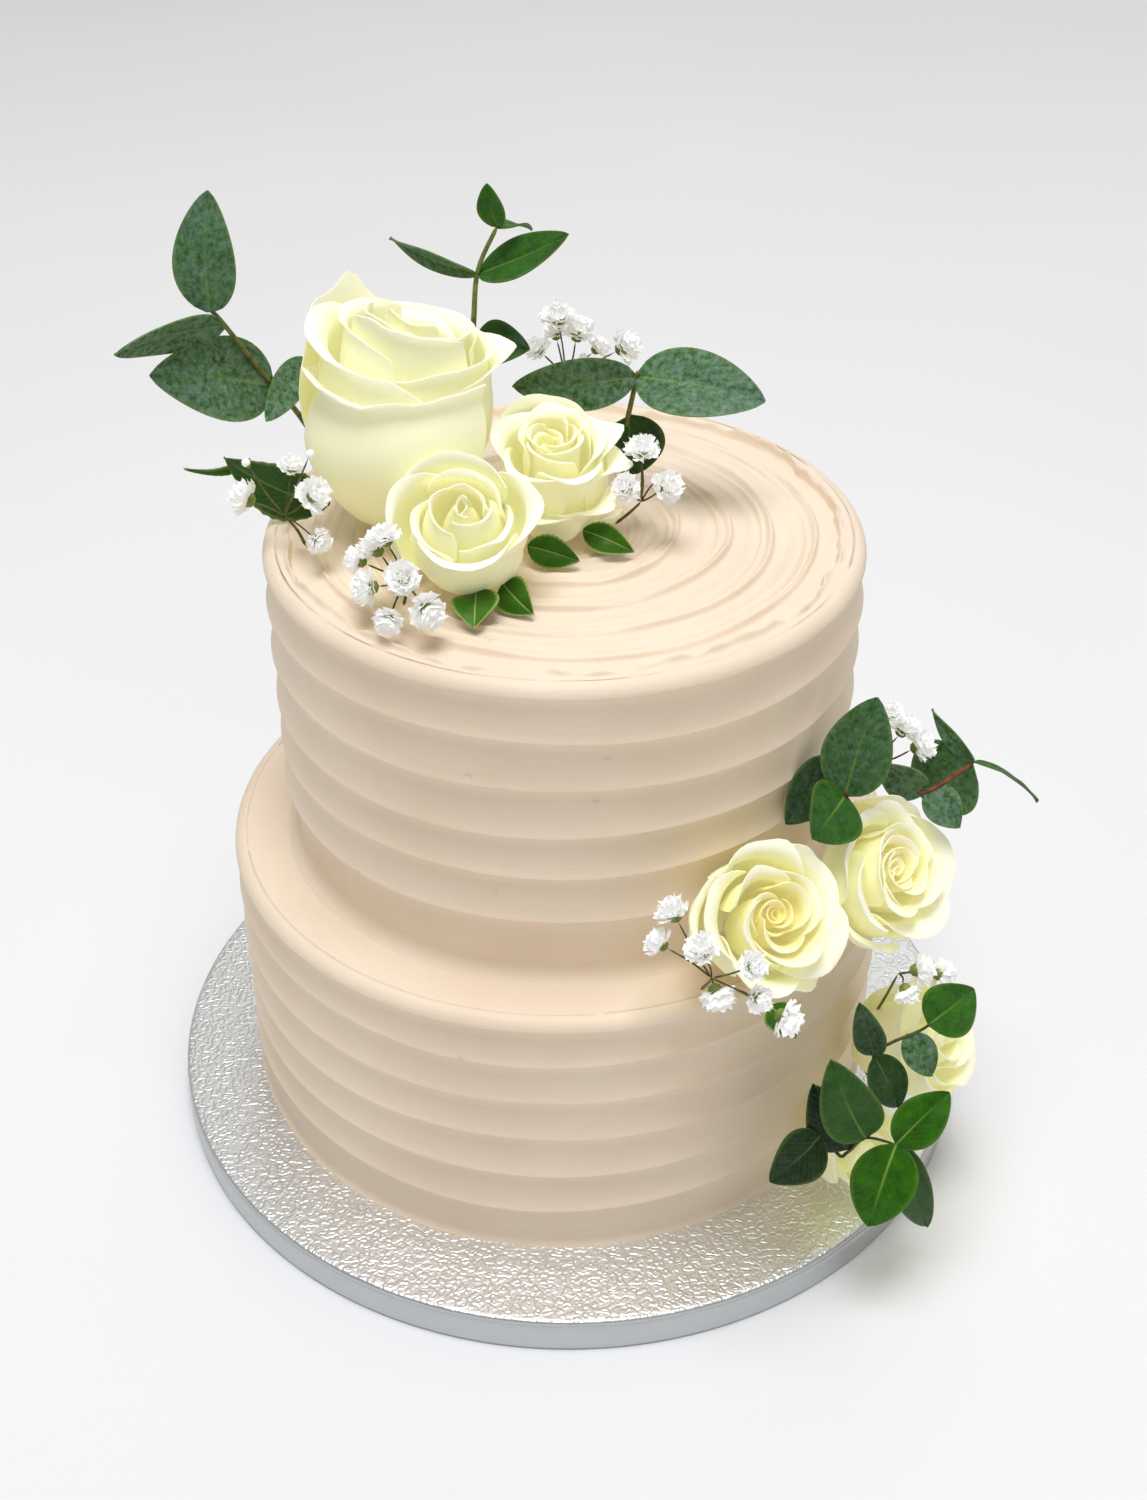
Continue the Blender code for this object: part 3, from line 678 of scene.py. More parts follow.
def placed(grids, basis, foot):
    """Stand a petal's points on its flower's foot and axis."""
    points, place, tone = grids
    return points @ basis + np.array(foot[:]), place, tone


# %% The tall rose
TALL = (
    (3, 0.12, 0.93, 100, 0.05, 40, 1.0, 0.9),
    (3, 0.24, 0.96, 96, 0.07, 45, 0.6, 0.4),
    (3, 0.42, 0.99, 92, 0.10, 50, 0.3, 0.15),
    (4, 0.62, 0.99, 84, 0.13, 56, 0.1, 0.08),
)
lay_rose(
    "rose_tall", (-50, 3, 198.2), (-43.5, 5, 256), 27.5, TALL, 20,
    glow=0.12, pale=0.15, seed=1, lean=0.06, outer=(
        (62, 70, 20.5, 56, 4.0, 55, 0.26, 0.42, 0.14, 0.3),
        (216, 76, 21.0, 55, 9.5, 84, 0.26, 0.42, 0.16, 1.2, 0, 0, -0.11),
        (322, 84, 21.0, 53, 5.0, 60, 0.24, 0.42, 0.16, 0.8, 0, 0, 0.06),
        (140, 54, 22.8, 59, 6.0, 24, 0.34, 0.42, 0.10, 1.4, 6.0, -0.12, 0, 0.12),
        (0, 62, 23.5, 52, 9.0, 62, 0.40, 0.42, 0.12, 0.8, 2.0, 0.15, 0.06),
        (242, 86, 23.4, 46, 7.5, 78, 0.16, 0.38, 0.25, 2.2, 0, 0, 0.08),
    ))

# %% The six other roses
lay_rose(
    "rose_front", (-28, -27.5, 200.5), (-27.5, -41.5, 226), 19.0, CUP[:2], 250,
    glow=0.25, pale=0.2, seed=2, outer=(
        (70, 64, 11.5, 26.5, 3.0, 60, 0.30, 0.36, 0.20, 0.3),
        (205, 58, 11.4, 25.5, 3.0, 66, 0.30, 0.36, 0.15, 0.6),
        (325, 56, 11.2, 25.5, 3.5, 74, 0.30, 0.36, 0.15, 0.6, 1.0),
        (100, 62, 16.6, 27, 3.5, 46, 0.30, 0.36, 0.06, 0.3),
        (168, 54, 17.0, 26, 4.0, 60, 0.30, 0.36, 0.06, 0.7),
        (8, 54, 16.8, 25, 5.0, 74, 0.34, 0.36, 0.06, 0.7, 1.5),
        (264, 84, 13.0, 24.5, 4.5, 84, 0.30, 0.30, 0.22, 0.9),
    ))
lay_rose(
    "rose_right", (-5, 2, 200.0), (-4.5, -8, 231), 17.0, OPEN, 40,
    glow=0.35, pale=0.0, seed=3, outer=(
        (95, 56, 14.5, 31, 4.5, 40, 0.20, 0.38, 0.06, 0.3),
        (20, 44, 14.4, 27, 6.0, 80, 0.40, 0.38, 0.06, 0.8, 2.5),
        (352, 40, 14.8, 23, 6.0, 95, 0.40, 0.36, 0.06, 0.9, 3.0),
        (308, 54, 14.6, 17, 7.5, 80, 0.40, 0.34, 0.06, 0.9, 3.0, 0.2),
        (246, 54, 14.8, 17, 6.0, 85, 0.35, 0.34, 0.06, 0.8, 2.0),
        (334, 19, 17.5, 9.5, 5.0, 90, 0.55, 0.50, 0.06, 0.2),
    ))
lay_rose(
    "rose_ledge_left", (46, -77, 117), (55.5, -94, 134), 21.0, OPEN, 10,
    glow=0.9, pale=-0.3, seed=4, outer=(
        (62, 48, 16.5, 22.5, 7.5, 55, 0.22, 0.40, 0.06, 1.0),
        (184, 42, 17.5, 17, 5.5, 90, 0.20, 0.40, 0.06, 0.8),
        (326, 38, 17.5, 15, 8.5, 70, 0.25, 0.40, 0.06, 1.0, 2.0),
    ))
lay_rose(
    "rose_ledge_right", (77.5, -54.5, 114.5), (93, -67.5, 128.5), 23.5, OPEN, 70,
    glow=0.55, pale=-0.3, seed=5, outer=(
        (96, 50, 18.5, 19, 7.5, 50, 0.22, 0.40, 0.06, 1.0),
        (352, 46, 19.0, 15, 6.5, 60, 0.35, 0.40, 0.06, 1.0, 3.5, 0.1),
        (285, 44, 18.5, 14, 7.0, 75, 0.20, 0.40, 0.06, 1.0),
    ))
lay_rose("rose_low_right", (90.3, -47.6, 41), (112, -62, 60), 18.5, CUP, 30, glow=0.05, pale=-0.2, seed=6)
lay_rose("rose_low_left", (77, -63.8, 26), (91, -84, 34), 14.0, CUP, 60, glow=0.05, pale=-0.2, seed=7)

# %% [markdown]
# ## Eucalyptus
# Eucalyptus leaves are thick and leathery. A waxy bloom greys their deep green, the rib is
# thin and pale, and the underside is lighter. Each leaf is a grid that follows the leaf's
# outline from its root on the stem to its tip, folded a little along the rib. Solidify then
# gives it real thickness, and hands its second face the paler finish.

# %% Leaf finishes
# Side veins on each half of a leaf
SIDE_VEINS = 9.8676


def leaf_finish(name, painted_shade_colour, dark, light, bloom_colour, rib_colour, roughness):
    """A leaf's face: blotchy green, mixed towards a dark green as painted shade on leaves that lie in
    shade, pale veins, and a bloom where the leaf has one.
    """
    pale = paint(rib_colour)
    finish, shader = new_finish(name, {
        "Roughness": roughness,
        "IOR": 1.45,
        "Specular IOR Level": 0.18,
        "Subsurface Weight": 0.12,
        "Subsurface Radius": (0.4, 1.0, 0.2),
        "Subsurface Scale": 1.2 * MM,
    })
    where = add(finish, "TexCoord").outputs["Object"]
    stored = [add(finish, "Attribute", attribute_name=mark).outputs["Vector"] for mark in ("look", "place")]
    look, place = [add(finish, "SeparateXYZ", links={"Vector": numbers}) for numbers in stored]
    blotch = add(finish, "TexNoise", {"Scale": per(4.7619), "Detail": 7.0, "Roughness": 0.7},
                 {"Vector": where})
    fresh = add(finish, "ValToRGB", links={"Fac": blotch}, stops=((0.32, dark), (0.68, light)))
    # Painted shade: the third number of place darkens the green of leaves that lie in shade.
    green = add(finish, "MixRGB", {"Color2": paint(painted_shade_colour)}, {"Fac": place.outputs["Z"], "Color1": fresh})
    dust = add(finish, "TexNoise", {"Scale": per(1.66667), "Detail": 5.0, "Roughness": 0.7},
               {"Vector": where})
    dusty = add(finish, "MapRange", {"From Min": 0.35, "From Max": 0.75}, {"Value": dust})
    waxy = add(finish, "Math", links={0: dusty, 1: look.outputs["X"]}, operation="MULTIPLY")
    bloom = add(finish, "MixRGB", {"Color2": paint(bloom_colour)}, {"Fac": waxy, "Color1": green})
    off_rib = add(finish, "Math", links={0: place.outputs["X"]}, operation="ABSOLUTE")
    rib = add(finish, "MapRange", {"From Min": 0.02, "From Max": 0.055, "To Min": 1.0, "To Max": 0.0},
              {"Value": off_rib})
    rib_on = add(finish, "Math", links={0: rib, 1: look.outputs["Y"]}, operation="MULTIPLY")
    slant = add(finish, "Math", {1: 0.42}, {0: off_rib}, operation="MULTIPLY")
    along = add(finish, "Math", links={0: place.outputs["Y"], 1: slant}, operation="SUBTRACT")
    comb = add(finish, "Math", {1: SIDE_VEINS * TURN}, {0: along}, operation="MULTIPLY")
    comb = add(finish, "Math", links={0: comb}, operation="SINE")
    side_vein = add(finish, "MapRange", {"From Min": 0.86, "From Max": 1.0, "To Min": 0.0, "To Max": 0.07},
                    {"Value": comb})
    marks = add(finish, "Math", links={0: rib_on, 1: side_vein}, operation="MAXIMUM")
    marked = add(finish, "MixRGB", {"Color2": pale}, {"Fac": marks, "Color1": bloom})
    rimmed = add(finish, "MixRGB", {"Color2": pale}, {"Fac": look.outputs["Z"], "Color1": marked})
    join(finish, rimmed, shader, "Base Color")
    relief = add(finish, "Math", {1: 0.6}, {0: marks, 2: blotch}, operation="MULTIPLY_ADD")
    bump = add(finish, "Bump", {"Strength": 0.4, "Distance": 0.3 * MM}, {"Height": relief})
    join(finish, bump, shader, "Normal")
    return finish


GUM_FACE = leaf_finish("eucalyptus_leaf_waxed", "071004", "1d4a06", "35700c", "8aa295", "8fa84a", 0.42)
GUM_UNDER = leaf_finish("eucalyptus_leaf_underside", "2c4430", "456a4a", "587c5a", "8fa598", "a9b98a", 0.55)

# %% [markdown]
# A young stem has a thin waxy bark: half matt, finely streaked along its length. Its colour
# goes from olive to red-brown where the sun reached it.

# %% Stem finishes
def stem_finish(name, dark, light):
    """Young bark: streaks of two close colours."""
    finish, shader = new_finish(name, {"Roughness": 0.5, "IOR": 1.45})
    where = add(finish, "TexCoord").outputs["Object"]
    streak = add(finish, "TexNoise", {"Scale": per(2.38095), "Detail": 3.0}, {"Vector": where})
    bark = add(finish, "ValToRGB", links={"Fac": streak}, stops=((0.3, dark), (0.7, light)))
    join(finish, bark, shader, "Base Color")
    rough = add(finish, "Bump", {"Strength": 0.3, "Distance": 0.2 * MM}, {"Height": streak})
    join(finish, rough, shader, "Normal")
    return finish


OLIVE_STEM = stem_finish("eucalyptus_bark_olive", "4b4a1e", "7b7f3a")
RED_STEM = stem_finish("eucalyptus_bark_red", "5a2415", "8c4a2c")
# The low sprigs' stems take a darker copy of the bark: painted shade for the shade they lie in.
PAINTED_SHADE_STEM = stem_finish("eucalyptus_bark_painted_shade", "25290f", "4a5220")
GREEN_STEM = stem_finish("eucalyptus_bark_green", "5f6f2c", "8d9a4a")

# %% A leaf's outline and grid
FACING = Vector((0.0, -0.82, 0.57))
LEAF_ROWS = 23
LEAF_COLUMNS = 13
# Fullness rounds a leaf's outline, fold lifts its halves, and the rib is a groove along it
FULL_ROUND, FULL_POINTED = 0.68, 0.85
LEAF_FOLD = 0.06
RIB_DEPTH, RIB_WIDTH = 0.25, 0.12
TEETH_TURNS = 34


def leaf_points(root, tip, width, turn, bend, pointed, seed, painted_shade_and_vein_tone, wave=0.4, teeth=0.0):
    """A leaf's points from root to tip, with its broad side turned from the front by degrees.

    Bend is how far its middle is bowed, wave and teeth how high the waves and the notches of
    its edge are, and the shade number how far its green is painted darker, as painted shade
    for a leaf that lies in shade.
    """
    draw = np.random.default_rng(seed)
    root, tip = Vector(root), Vector(tip)
    length = (tip - root).length
    along = (tip - root).normalized()
    across = along.cross(FACING).normalized()
    normal = across.cross(along)
    roll = math.radians(turn)
    across, normal = (across * math.cos(roll) + normal * math.sin(roll),
                      normal * math.cos(roll) - across * math.sin(roll))
    v, u = np.meshgrid(np.linspace(0, 1, LEAF_ROWS), np.linspace(-1, 1, LEAF_COLUMNS), indexing="ij")
    fullness = FULL_POINTED if pointed else FULL_ROUND
    half = 0.5 * width * np.sin(math.pi * np.clip(v, 0.002, 0.998) ** 0.75) ** fullness
    half = half * (1 + teeth * np.abs(np.sin(v * TEETH_TURNS)) * np.abs(u))
    rise = bend * length * 4 * v * (1 - v)
    rise = rise + LEAF_FOLD * width * np.abs(u) * half / (0.5 * width)
    swing = draw.uniform(0, TURN, 3)
    rise = rise + wave * u * np.sin(5 * v + swing[0]) + 0.35 * wave * np.sin(9 * v + 2 * u + swing[1])
    rise = rise - RIB_DEPTH * bead(u, RIB_WIDTH)
    sway = 0.02 * length * np.sin(math.pi * v) * math.sin(swing[2])
    points = (np.array(root[:]) + v[..., None] * length * np.array(along[:])
              + (u * half + sway)[..., None] * np.array(across[:]) + rise[..., None] * np.array(normal[:]))
    # The third number carries the leaf's painted shade to its finish.
    place = np.stack([u * half / (0.5 * width), v, np.full_like(u, painted_shade_and_vein_tone)], axis=-1)
    return points, place


# %% A stem as a tube
STEM_TIP = 0.02


def tube_points(path, thick, thin, sides=9, steps=6):
    """A round tube on a Catmull-Rom curve through a few points, narrowing towards its end."""
    knots = [np.array(p, dtype=float) for p in path]
    knots = [2 * knots[0] - knots[1]] + knots + [2 * knots[-1] - knots[-2]]
    line = []
    for a, b, c, d in zip(knots, knots[1:], knots[2:], knots[3:]):
        for s in np.linspace(0, 1, steps, endpoint=False):
            line.append(0.5 * (2 * b + (c - a) * s + (2 * a - 5 * b + 4 * c - d) * s ** 2
                               + (3 * b - a - 3 * c + d) * s ** 3))
    line.append(knots[-2])
    line = np.array(line)
    heading = np.gradient(line, axis=0)
    heading /= np.linalg.norm(heading, axis=1)[:, None]
    side = np.cross(heading, (0.31, 0.72, 0.62))
    side /= np.linalg.norm(side, axis=1)[:, None]
    other = np.cross(heading, side)
    around = np.linspace(0, TURN, sides, endpoint=False)
    size = np.linspace(thick, thin, len(line))
    size[0] = size[-1] = STEM_TIP
    ring = np.cos(around)[None, :, None] * side[:, None] + np.sin(around)[None, :, None] * other[:, None]
    return line[:, None] + ring * size[:, None, None]


# %% A sprig: leaves, then stems
LEAF_THICK = 0.42


def leaf_edge(start, strength):
    """How pale a leaf's margin is across it, from start out to the edge."""
    across = np.abs(np.linspace(-1, 1, LEAF_COLUMNS))
    return np.clip((across - start) / (1 - start), 0, 1)[None, :] * strength


def lay_sprig(name, stems, leaves, bark, thick=0.95):
    """One sprig of eucalyptus, with leaves thickened and the stems in a piece of their own."""
    piece = Piece(name + "_leaves")
    for number, (root, tip, width, turn, bend, bloom, rib, painted_shade_and_vein_tone) in enumerate(leaves):
        points, place = leaf_points(root, tip, width, turn, bend, False, len(name) * 31 + number, painted_shade_and_vein_tone)
        rib_fade = np.clip(1.15 - 1.3 * place[..., 1], 0, 1) * rib
        look = np.stack([0 * rib_fade + bloom, rib_fade, leaf_edge(0.95, 0.22) + 0 * rib_fade], axis=-1)
        piece.grid(points, place, look)
    piece.build([GUM_FACE, GUM_UNDER], name, thickness=LEAF_THICK, under_slot=1)
    twigs = Piece(name + "_stem")
    for path in stems:
        twigs.grid(tube_points(path, thick, thick * 0.6), closed=True)
    twigs.build([bark], name)


# %% Sprigs on the top
# Each stem is a list of points. Each leaf has its root, tip, width, turn and bend, and then
# how strong its bloom and rib are, and how much painted shade darkens it where it lies in shade.
lay_sprig(
    "eucalyptus_top_left",
    [[(-68, 31, 198.8), (-77, 26, 219.5), (-82, 16, 233), (-92, 8, 254), (-95, 5, 260)],
     [(-82, 16, 233), (-78, 16, 231.5)]],
    [((-95, 5, 259), (-93, 10, 290), 17, 5, 0.05, 0.7, 0.3, 0.15),
     ((-92, 8, 254), (-117, -14, 255), 13, 70, -0.06, 0.8, 0.3, 0.2),
     ((-82, 16, 233), (-111, -4, 245), 23, 8, 0.06, 0.8, 0.4, 0.25),
     ((-73.5, 26, 236.5), (-83, 6, 227), 10, 30, 0.0, 0.9, 0.2, 0.2)], OLIVE_STEM)
lay_sprig(
    "eucalyptus_top_middle",
    [[(-31, 38, 197.8), (-27, 35, 242), (-25, 32, 260), (-19, 30, 274)]],
    [((-19, 30, 273), (-22, 30, 285), 8, 30, 0.08, 0.1, 0.5, 0.1),
     ((-19.5, 30, 273), (-10, 38, 269.5), 6, 60, 0.1, 0.1, 0.3, 0.1),
     ((-25, 32, 259), (-50, 44, 265), 7, 70, 0.06, 0.4, 0.2, 0.2),
     ((-25, 32, 259), (0, 22, 274), 12, 20, -0.05, 0.15, 0.6, 0.05),
     ((-27.2, 35.2, 237), (-11, 27, 239), 14, 10, 0.1, 0.1, 0.2, 0.5)], GREEN_STEM)
lay_sprig(
    "eucalyptus_top_right",
    [[(13, 38, 197.8), (15.5, 26, 212), (19, 22, 232), (19.5, 21.5, 235)]],
    [((19, 22, 233), (54, 8, 232), 21, 12, 0.05, 0.85, 0.4, 0.15),
     ((19, 22, 233), (-16, 31, 226), 15, 25, 0.08, 0.75, 0.3, 0.3),
     ((17, 24.4, 220), (19, 27.5, 200), 20, 5, 0.08, 0.1, 0.2, 0.6)], OLIVE_STEM)

# %% Sprigs down the side
lay_sprig(
    "eucalyptus_ledge_left",
    [[(68.6, -50.9, 139), (72, -57, 145), (74.5, -62, 149.4), (74.4, -63, 150)],
     [(71, -55.2, 143.2), (73, -51, 154)]],
    [((74.5, -62, 149.2), (82.5, -50, 173), 19, 10, 0.06, 0.35, 0.3, 0.4),
     ((74.5, -62, 149.4), (64.5, -77, 146), 19, 14, 0.06, 0.15, 0.6, 0.15),
     ((73, -51, 153.6), (59, -62.5, 140), 15, 18, 0.06, 0.3, 0.2, 0.7)], RED_STEM)
lay_sprig(
    "eucalyptus_ledge_right",
    [[(78.7, -34.7, 134), (86, -36, 136), (94, -40, 137), (100, -45, 138), (115, -36, 142)]],
    [((114.6, -36.2, 142), (102.6, -28, 154.5), 5, 50, 0.08, 0.6, 0.2, 0.1),
     ((114.8, -36, 142), (134.5, -36, 128), 5, 72, 0.08, 0.3, 0.2, 0.2),
     ((114.2, -36.4, 141.6), (100.5, -30, 127), 24, 0, 0.06, 0.5, 0.3, 0.2),
     ((100, -45, 138), (86.5, -42, 146), 12, 40, 0.06, 0.8, 0.2, 0.3),
     ((100, -45, 138), (109.5, -51, 130), 13, 30, 0.06, 0.8, 0.2, 0.3)], RED_STEM)
lay_sprig(
    "eucalyptus_low_right",
    [[(88, -50, 42), (93, -76, 48), (85.3, -88, 78), (98, -86, 86), (101, -85, 88)]],
    [((100, -85.4, 87.4), (112.5, -80, 96), 16, 0, 0.06, 0.1, 0.5, 0.0),
     ((94, -86.6, 85), (102, -90, 72.5), 10, 10, 0.08, 0.75, 0.3, 0.2),
     ((85.4, -88, 78), (79.5, -88, 98), 9, 15, 0.08, 0.35, 0.3, 0.6),
     ((85.4, -88, 78), (93.5, -90, 60), 12, 10, 0.08, 0.15, 0.3, 0.5)], PAINTED_SHADE_STEM, 0.62)
lay_sprig(
    "eucalyptus_low_left",
    [[(71, -69, 42), (77, -92, 44), (80, -94, 46), (83.5, -99, 57), (92, -100, 55.6)]],
    [((83.5, -99, 57), (70.5, -104, 92), 17, 6, 0.06, 0.05, 0.5, 0.25),
     ((92, -100, 55.6), (107, -92, 68), 14, 0, 0.06, 0.0, 0.7, 0.0),
     ((92, -100, 55.6), (85, -110, 33), 19, 0, 0.06, 0.0, 0.9, 0.0),
     ((91.8, -99.6, 55), (105, -97, 18), 12, 10, 0.06, 0.1, 0.3, 0.4),
     ((71, -97, 56), (56.5, -106, 47), 17, 20, 0.06, 0.1, 0.3, 0.8),
     ((79.5, -94, 47), (68.5, -92, 71), 15, 10, 0.08, 0.1, 0.2, 0.9)], PAINTED_SHADE_STEM, 0.62)

# %% [markdown]
# ## Rose leaves and sepals
# The roses keep a few of their own leaves, tucked under the heads. They are glossier than
# eucalyptus, with a saw-toothed edge that dries pale.

# %% Rose leaves
ROSE_LEAF_THICK = 0.35
ROSE_FACE = leaf_finish("rose_leaf_glossy", "12300a", "2a5a10", "4a7c1c", "6d8a4a", "b7c673", 0.33)
ROSE_UNDER = leaf_finish("rose_leaf_underside", "2c451a", "4b6f2c", "658a40", "86a066", "b7c673", 0.5)


def lay_leaf(name, root, tip, width, turn, bend=0.10, rib=0.6, edge_pale=0.7, painted_shade_and_vein_tone=0.2):
    """One loose rose leaf."""
    piece = Piece(name + "_blade")
    points, place = leaf_points(root, tip, width, turn, bend, True, len(name) * 17, painted_shade_and_vein_tone,
                                wave=0.5, teeth=0.08)
    ribs = np.full(place.shape[:2], rib)
    piece.grid(points, place, np.stack([0 * ribs, ribs, leaf_edge(0.9, edge_pale) + 0 * ribs], axis=-1))
    piece.build([ROSE_FACE, ROSE_UNDER], name, thickness=ROSE_LEAF_THICK, under_slot=1)


# A leaf's shade number paints it darker, as painted shade, where it lies in the shade of the roses.
lay_leaf("rose_leaf_left", (-67, 3, 203), (-95.5, 4, 217), 17, 40, rib=0.2, edge_pale=0.3, painted_shade_and_vein_tone=0.6)
lay_leaf("sepal_left", (-90, 13, 212), (-107, 4, 213.5), 3, 40, 0.2)
lay_leaf("rose_leaf_front", (-24, -44, 202), (-24, -58, 199.4), 12, -10, painted_shade_and_vein_tone=0.0)
lay_leaf("rose_leaf_front_right", (-17, -40, 202), (-9, -51, 199.4), 10, -10)
lay_leaf("rose_leaf_middle", (-11, -21, 203), (3, -24, 200), 9, -10, rib=0.3, edge_pale=0.5, painted_shade_and_vein_tone=0.45)
lay_leaf("rose_leaf_right", (4, -13, 203.5), (18, -19, 200), 8, -10, edge_pale=0.8)
lay_leaf("rose_leaf_ledge", (53, -106, 113.5), (59, -114, 109.5), 9, 10)

# %% [markdown]
# ## Gypsophila
# Each tiny blossom is a ball of about forty-five frilled white petals on a green cup, at the
# end of a hair-thin dark stalk. The petals go in whorls: the outer ones lie nearly flat, the
# inner ones stand up. They are as thin as tissue, matt and greenish at the foot, and have
# the same small glow as the rose petals, for light that comes through.

# %% Gypsophila finishes
FRILL, shader = new_finish("gypsophila_petal_white", {
    "Roughness": 0.6,
    "IOR": 1.4,
    "Specular IOR Level": 0.2,
    "Subsurface Weight": 0.1,
    "Subsurface Radius": (1.0, 1.0, 0.95),
    "Subsurface Scale": 0.6 * MM,
    "Emission Color": paint("fffff6"),
    "Emission Strength": 0.09,
})
look = add(FRILL, "Attribute", attribute_name="look").outputs["Vector"]
look = add(FRILL, "SeparateXYZ", links={"Vector": look})
white = add(FRILL, "ValToRGB", links={"Fac": look.outputs["Y"]},
            stops=((0.0, "dfe3b8"), (0.2, "fafaf0"), (0.6, "ffffff")))
join(FRILL, white, shader, "Base Color")
CALYX = stem_finish("gypsophila_cup_green", "5f6d2a", "8b9a4c")
STALK = stem_finish("gypsophila_stalk_dark", "40351c", "6b6a34")

# %% One blossom
# Each whorl has its number of petals, how steeply they stand in degrees, and their length
WHORLS = ((11, -6, 0.95), (11, 18, 1.0), (10, 40, 1.0), (8, 60, 0.92), (5, 80, 0.8))
# Outlines as radius and height, in shares of the blossom's width
CALYX_OUTLINE = np.array([(0.03, 0.0), (0.17, 0.06), (0.24, 0.24), (0.20, 0.42), (0.02, 0.36)])
BUD_OUTLINE = np.array([(0.02, 0.2), (0.30, 0.3), (0.40, 0.55), (0.28, 0.85), (0.02, 0.95)])
SEAT_SHARE, CENTRE_SHARE = 0.42, 0.26
FRILL_LONG, FRILL_BROAD, NOTCH_DEPTH = 0.58, 0.17, 0.16


def turned_small(outline, sides):
    """A small turned form, from an outline of radius and height."""
    turns = np.linspace(0, TURN, sides, endpoint=False)[None, :]
    return turned(outline[:, :1], outline[:, 1:], turns)


def lay_blossom(piece, fork, place_at, width, seed, petals=True):
    """A blossom or bud, its green cup and its stalk down to the fork."""
    draw = np.random.default_rng(seed)
    fork, place_at = Vector(fork), Vector(place_at)
    axis = (place_at - fork).normalized()
    across, away = frame_along(axis)
    basis = np.array([across[:], away[:], axis[:]])
    seat = np.array((place_at - axis * width * SEAT_SHARE)[:])
    piece.grid(turned_small(CALYX_OUTLINE * width, 7) @ basis + seat, slot=1, closed=True)
    bow = (fork + place_at - axis * width * SEAT_SHARE) / 2 + across * draw.uniform(-0.6, 0.6)
    piece.grid(tube_points([fork, bow, Vector(seat)], 0.30, 0.24, sides=6, steps=4), slot=2, closed=True)
    if not petals:
        bud = turned_small(BUD_OUTLINE * width, 9) @ basis + seat
        piece.grid(bud, look=(0, 0.5, 0), closed=True)
        return
    centre = seat + np.array(axis[:]) * width * CENTRE_SHARE
    v, u = np.meshgrid(np.linspace(0, 1, 4), np.linspace(-1, 1, 4), indexing="ij")
    for count, tilt, long in WHORLS:
        for number in range(count):
            turn = TURN * (number + draw.uniform(-0.25, 0.25)) / count + tilt
            lean = math.radians(tilt + draw.uniform(-10, 10)) + 0.5 * v - 0.25
            reach = FRILL_LONG * width * long * draw.uniform(0.85, 1.12)
            notch = 1 - NOTCH_DEPTH * bead(u, 0.3) * v ** 3
            out = reach * v * np.cos(lean) * notch
            up = reach * v * np.sin(lean) * notch + 0.06 * width * v * np.sin(5 * u + draw.uniform(0, TURN))
            side = FRILL_BROAD * width * u * (0.25 + v)
            points = np.stack([out * math.cos(turn) - side * math.sin(turn),
                               out * math.sin(turn) + side * math.cos(turn), up], axis=-1)
            piece.grid(points @ basis + centre, look=np.stack([0 * v, v, 0 * v], axis=-1))


# %% A spray
BLOSSOM_WIDTH = 8.6
BUD_WIDTH = 3.2


def lay_spray(name, root, fork, blossoms, buds=()):
    """Stalks from one fork, each with its blossom or bud."""
    piece = Piece(name + "_blossoms")
    root, fork = Vector(root), Vector(fork)
    bow = (root + fork) / 2 + Vector((0.5, 0.4, 0.0))
    piece.grid(tube_points([root, bow, fork], 0.5, 0.34, sides=7, steps=4), slot=2, closed=True)
    seed = len(name) * 13
    for number, place_at in enumerate(blossoms):
        size = BLOSSOM_WIDTH * (0.94 + 0.14 * math.sin(seed + 3 * number))
        lay_blossom(piece, fork, place_at, size, seed + number)
    for number, place_at in enumerate(buds):
        lay_blossom(piece, fork, place_at, BUD_WIDTH, seed + 50 + number, petals=False)
    piece.build([FRILL, CALYX, STALK], name)


lay_spray(
    "gypsophila_top_left", (-72, -14, 198.8), (-77, -15, 209),
    [(-88.5, -12, 213), (-74, -14, 223.5), (-67.5, -22, 219), (-66.5, -26, 207)],
    [(-86.3, -12, 223), (-67, -27, 233)])
lay_spray(
    "gypsophila_front_left", (-43, -46, 199), (-42, -50, 208),
    [(-50, -45, 216.5), (-46.5, -49, 221.5), (-41.5, -58, 214.5), (-54.5, -46, 213), (-52, -53, 208.5),
     (-45.5, -63, 204.5), (-35, -64, 208)])
lay_spray(
    "gypsophila_right", (13, -1, 198.8), (20, -7, 209),
    [(20, 0, 222), (15.5, -16, 218), (27, -12, 216.5), (20, -9, 226)], [(24, -5, 215)])
lay_spray(
    "gypsophila_top_back", (0, 46, 198.8), (-1, 46, 222),
    [(-3, 44, 242), (-9, 42, 233), (3, 46, 237), (9, 48, 231), (17, 46, 232), (-4, 50, 235)],
    [(4, 44, 229)])
lay_spray(
    "gypsophila_ledge_left", (36, -88, 102.8), (37, -107, 124),
    [(26.5, -99, 140), (23, -102, 132), (34, -108, 135), (46.5, -116, 136), (38.5, -110, 120),
     (48.5, -117, 126), (56.5, -115, 117)], [(51, -112, 119)])
lay_spray(
    "gypsophila_ledge_back", (80, -31.5, 130), (87, -37, 142),
    [(94, -36, 154), (89, -38, 160), (99, -38, 149)])
lay_spray(
    "gypsophila_low", (93, -40, 46), (91.5, -78, 100),
    [(105, -72.5, 94.5), (98, -77.5, 101), (94, -81, 95)])

# %% [markdown]
# ## Floor, light and camera
# The cake stands on a sheet of matt pale paper. A large soft light hangs nearly straight
# above it, a little in front and slightly cool, so each ridge shades the cove below. A weak
# warm light comes from the front right, and a broad one from behind brightens the paper.
# The bright room fills the shadows. The camera looks down from the front by 35 degrees.

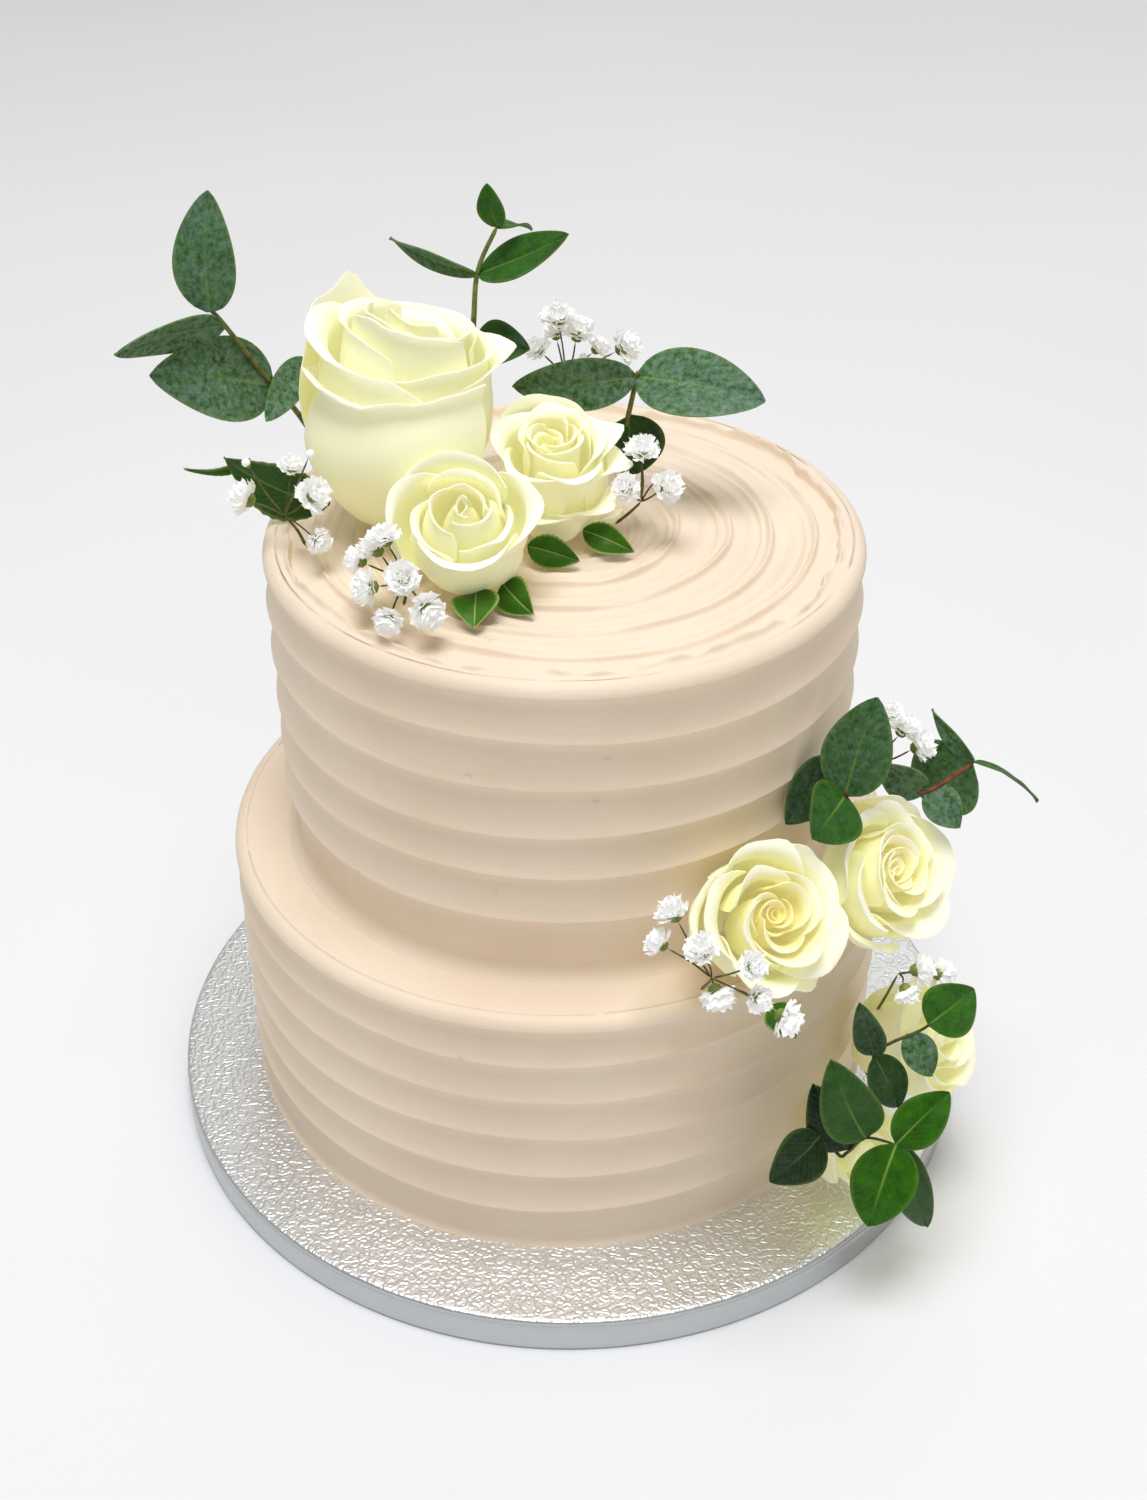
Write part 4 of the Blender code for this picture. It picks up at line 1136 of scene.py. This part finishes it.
# %% Floor
PAPER, shader = new_finish("backdrop_paper_matt", {"Roughness": 0.7, "Specular IOR Level": 0.2})
where = add(PAPER, "TexCoord").outputs["Object"]
cloud = add(PAPER, "TexNoise", {"Scale": per(333.33)}, {"Vector": where})
tint = add(PAPER, "ValToRGB", links={"Fac": cloud}, stops=((0.3, "efefef"), (0.7, "f2f2f2")))
join(PAPER, tint, shader, "Base Color")
SHEET = 8.0
corners = [(-SHEET, -SHEET, 0), (SHEET, -SHEET, 0), (SHEET, SHEET, 0), (-SHEET, SHEET, 0)]
sheet_mesh = bpy.data.meshes.new("backdrop")
sheet_mesh.from_pydata(corners, [], [(0, 1, 2, 3)])
sheet_mesh.materials.append(PAPER)
backdrop = bpy.data.objects.new("backdrop", sheet_mesh)
bpy.context.scene.collection.objects.link(backdrop)

# %% Light
room = bpy.data.worlds.new("bright_room")
room.use_nodes = True
sky = room.node_tree.nodes["Background"]
sky.inputs["Color"].default_value = (1.0, 0.96, 0.88, 1.0)
sky.inputs["Strength"].default_value = 0.385
bpy.context.scene.world = room
AIM = Vector((0, 0, 0.1))


def soft_light(name, place_at, size, power, colour):
    """A large square light that faces the cake's middle."""
    lamp = bpy.data.lights.new(name, "AREA")
    lamp.size = size
    lamp.energy = power
    lamp.color = colour
    obj = bpy.data.objects.new(name, lamp)
    obj.location = place_at
    obj.rotation_euler = (AIM - Vector(place_at)).to_track_quat("-Z", "Y").to_euler()
    bpy.context.scene.collection.objects.link(obj)


soft_light("overhead", (-0.08, -0.30, 2.2), 1.0, 32.0, (0.96, 0.99, 1.07))
soft_light("front", (0.5, -1.3, 1.6), 1.0, 2.2, (1.0, 0.98, 0.94))
soft_light("behind", (0.4, 1.7, 1.5), 1.8, 6.0, (1.0, 1.0, 1.0))

# %% Camera
LENS = 46.0
SENSOR = 36.0
LOOK_DOWN = 35.0
lens = bpy.data.cameras.new("camera")
lens.sensor_fit = "VERTICAL"
lens.sensor_height = SENSOR
lens.lens = LENS
camera = bpy.data.objects.new("camera", lens)
camera.location = (0.0014, -0.4777, 0.4553)
camera.rotation_euler = (math.radians(90 - LOOK_DOWN), 0.0, 0.0)
bpy.context.scene.collection.objects.link(camera)
bpy.context.scene.camera = camera
bpy.context.scene.view_settings.view_transform = "Standard"

# %% Update the scene
bpy.context.view_layer.update()
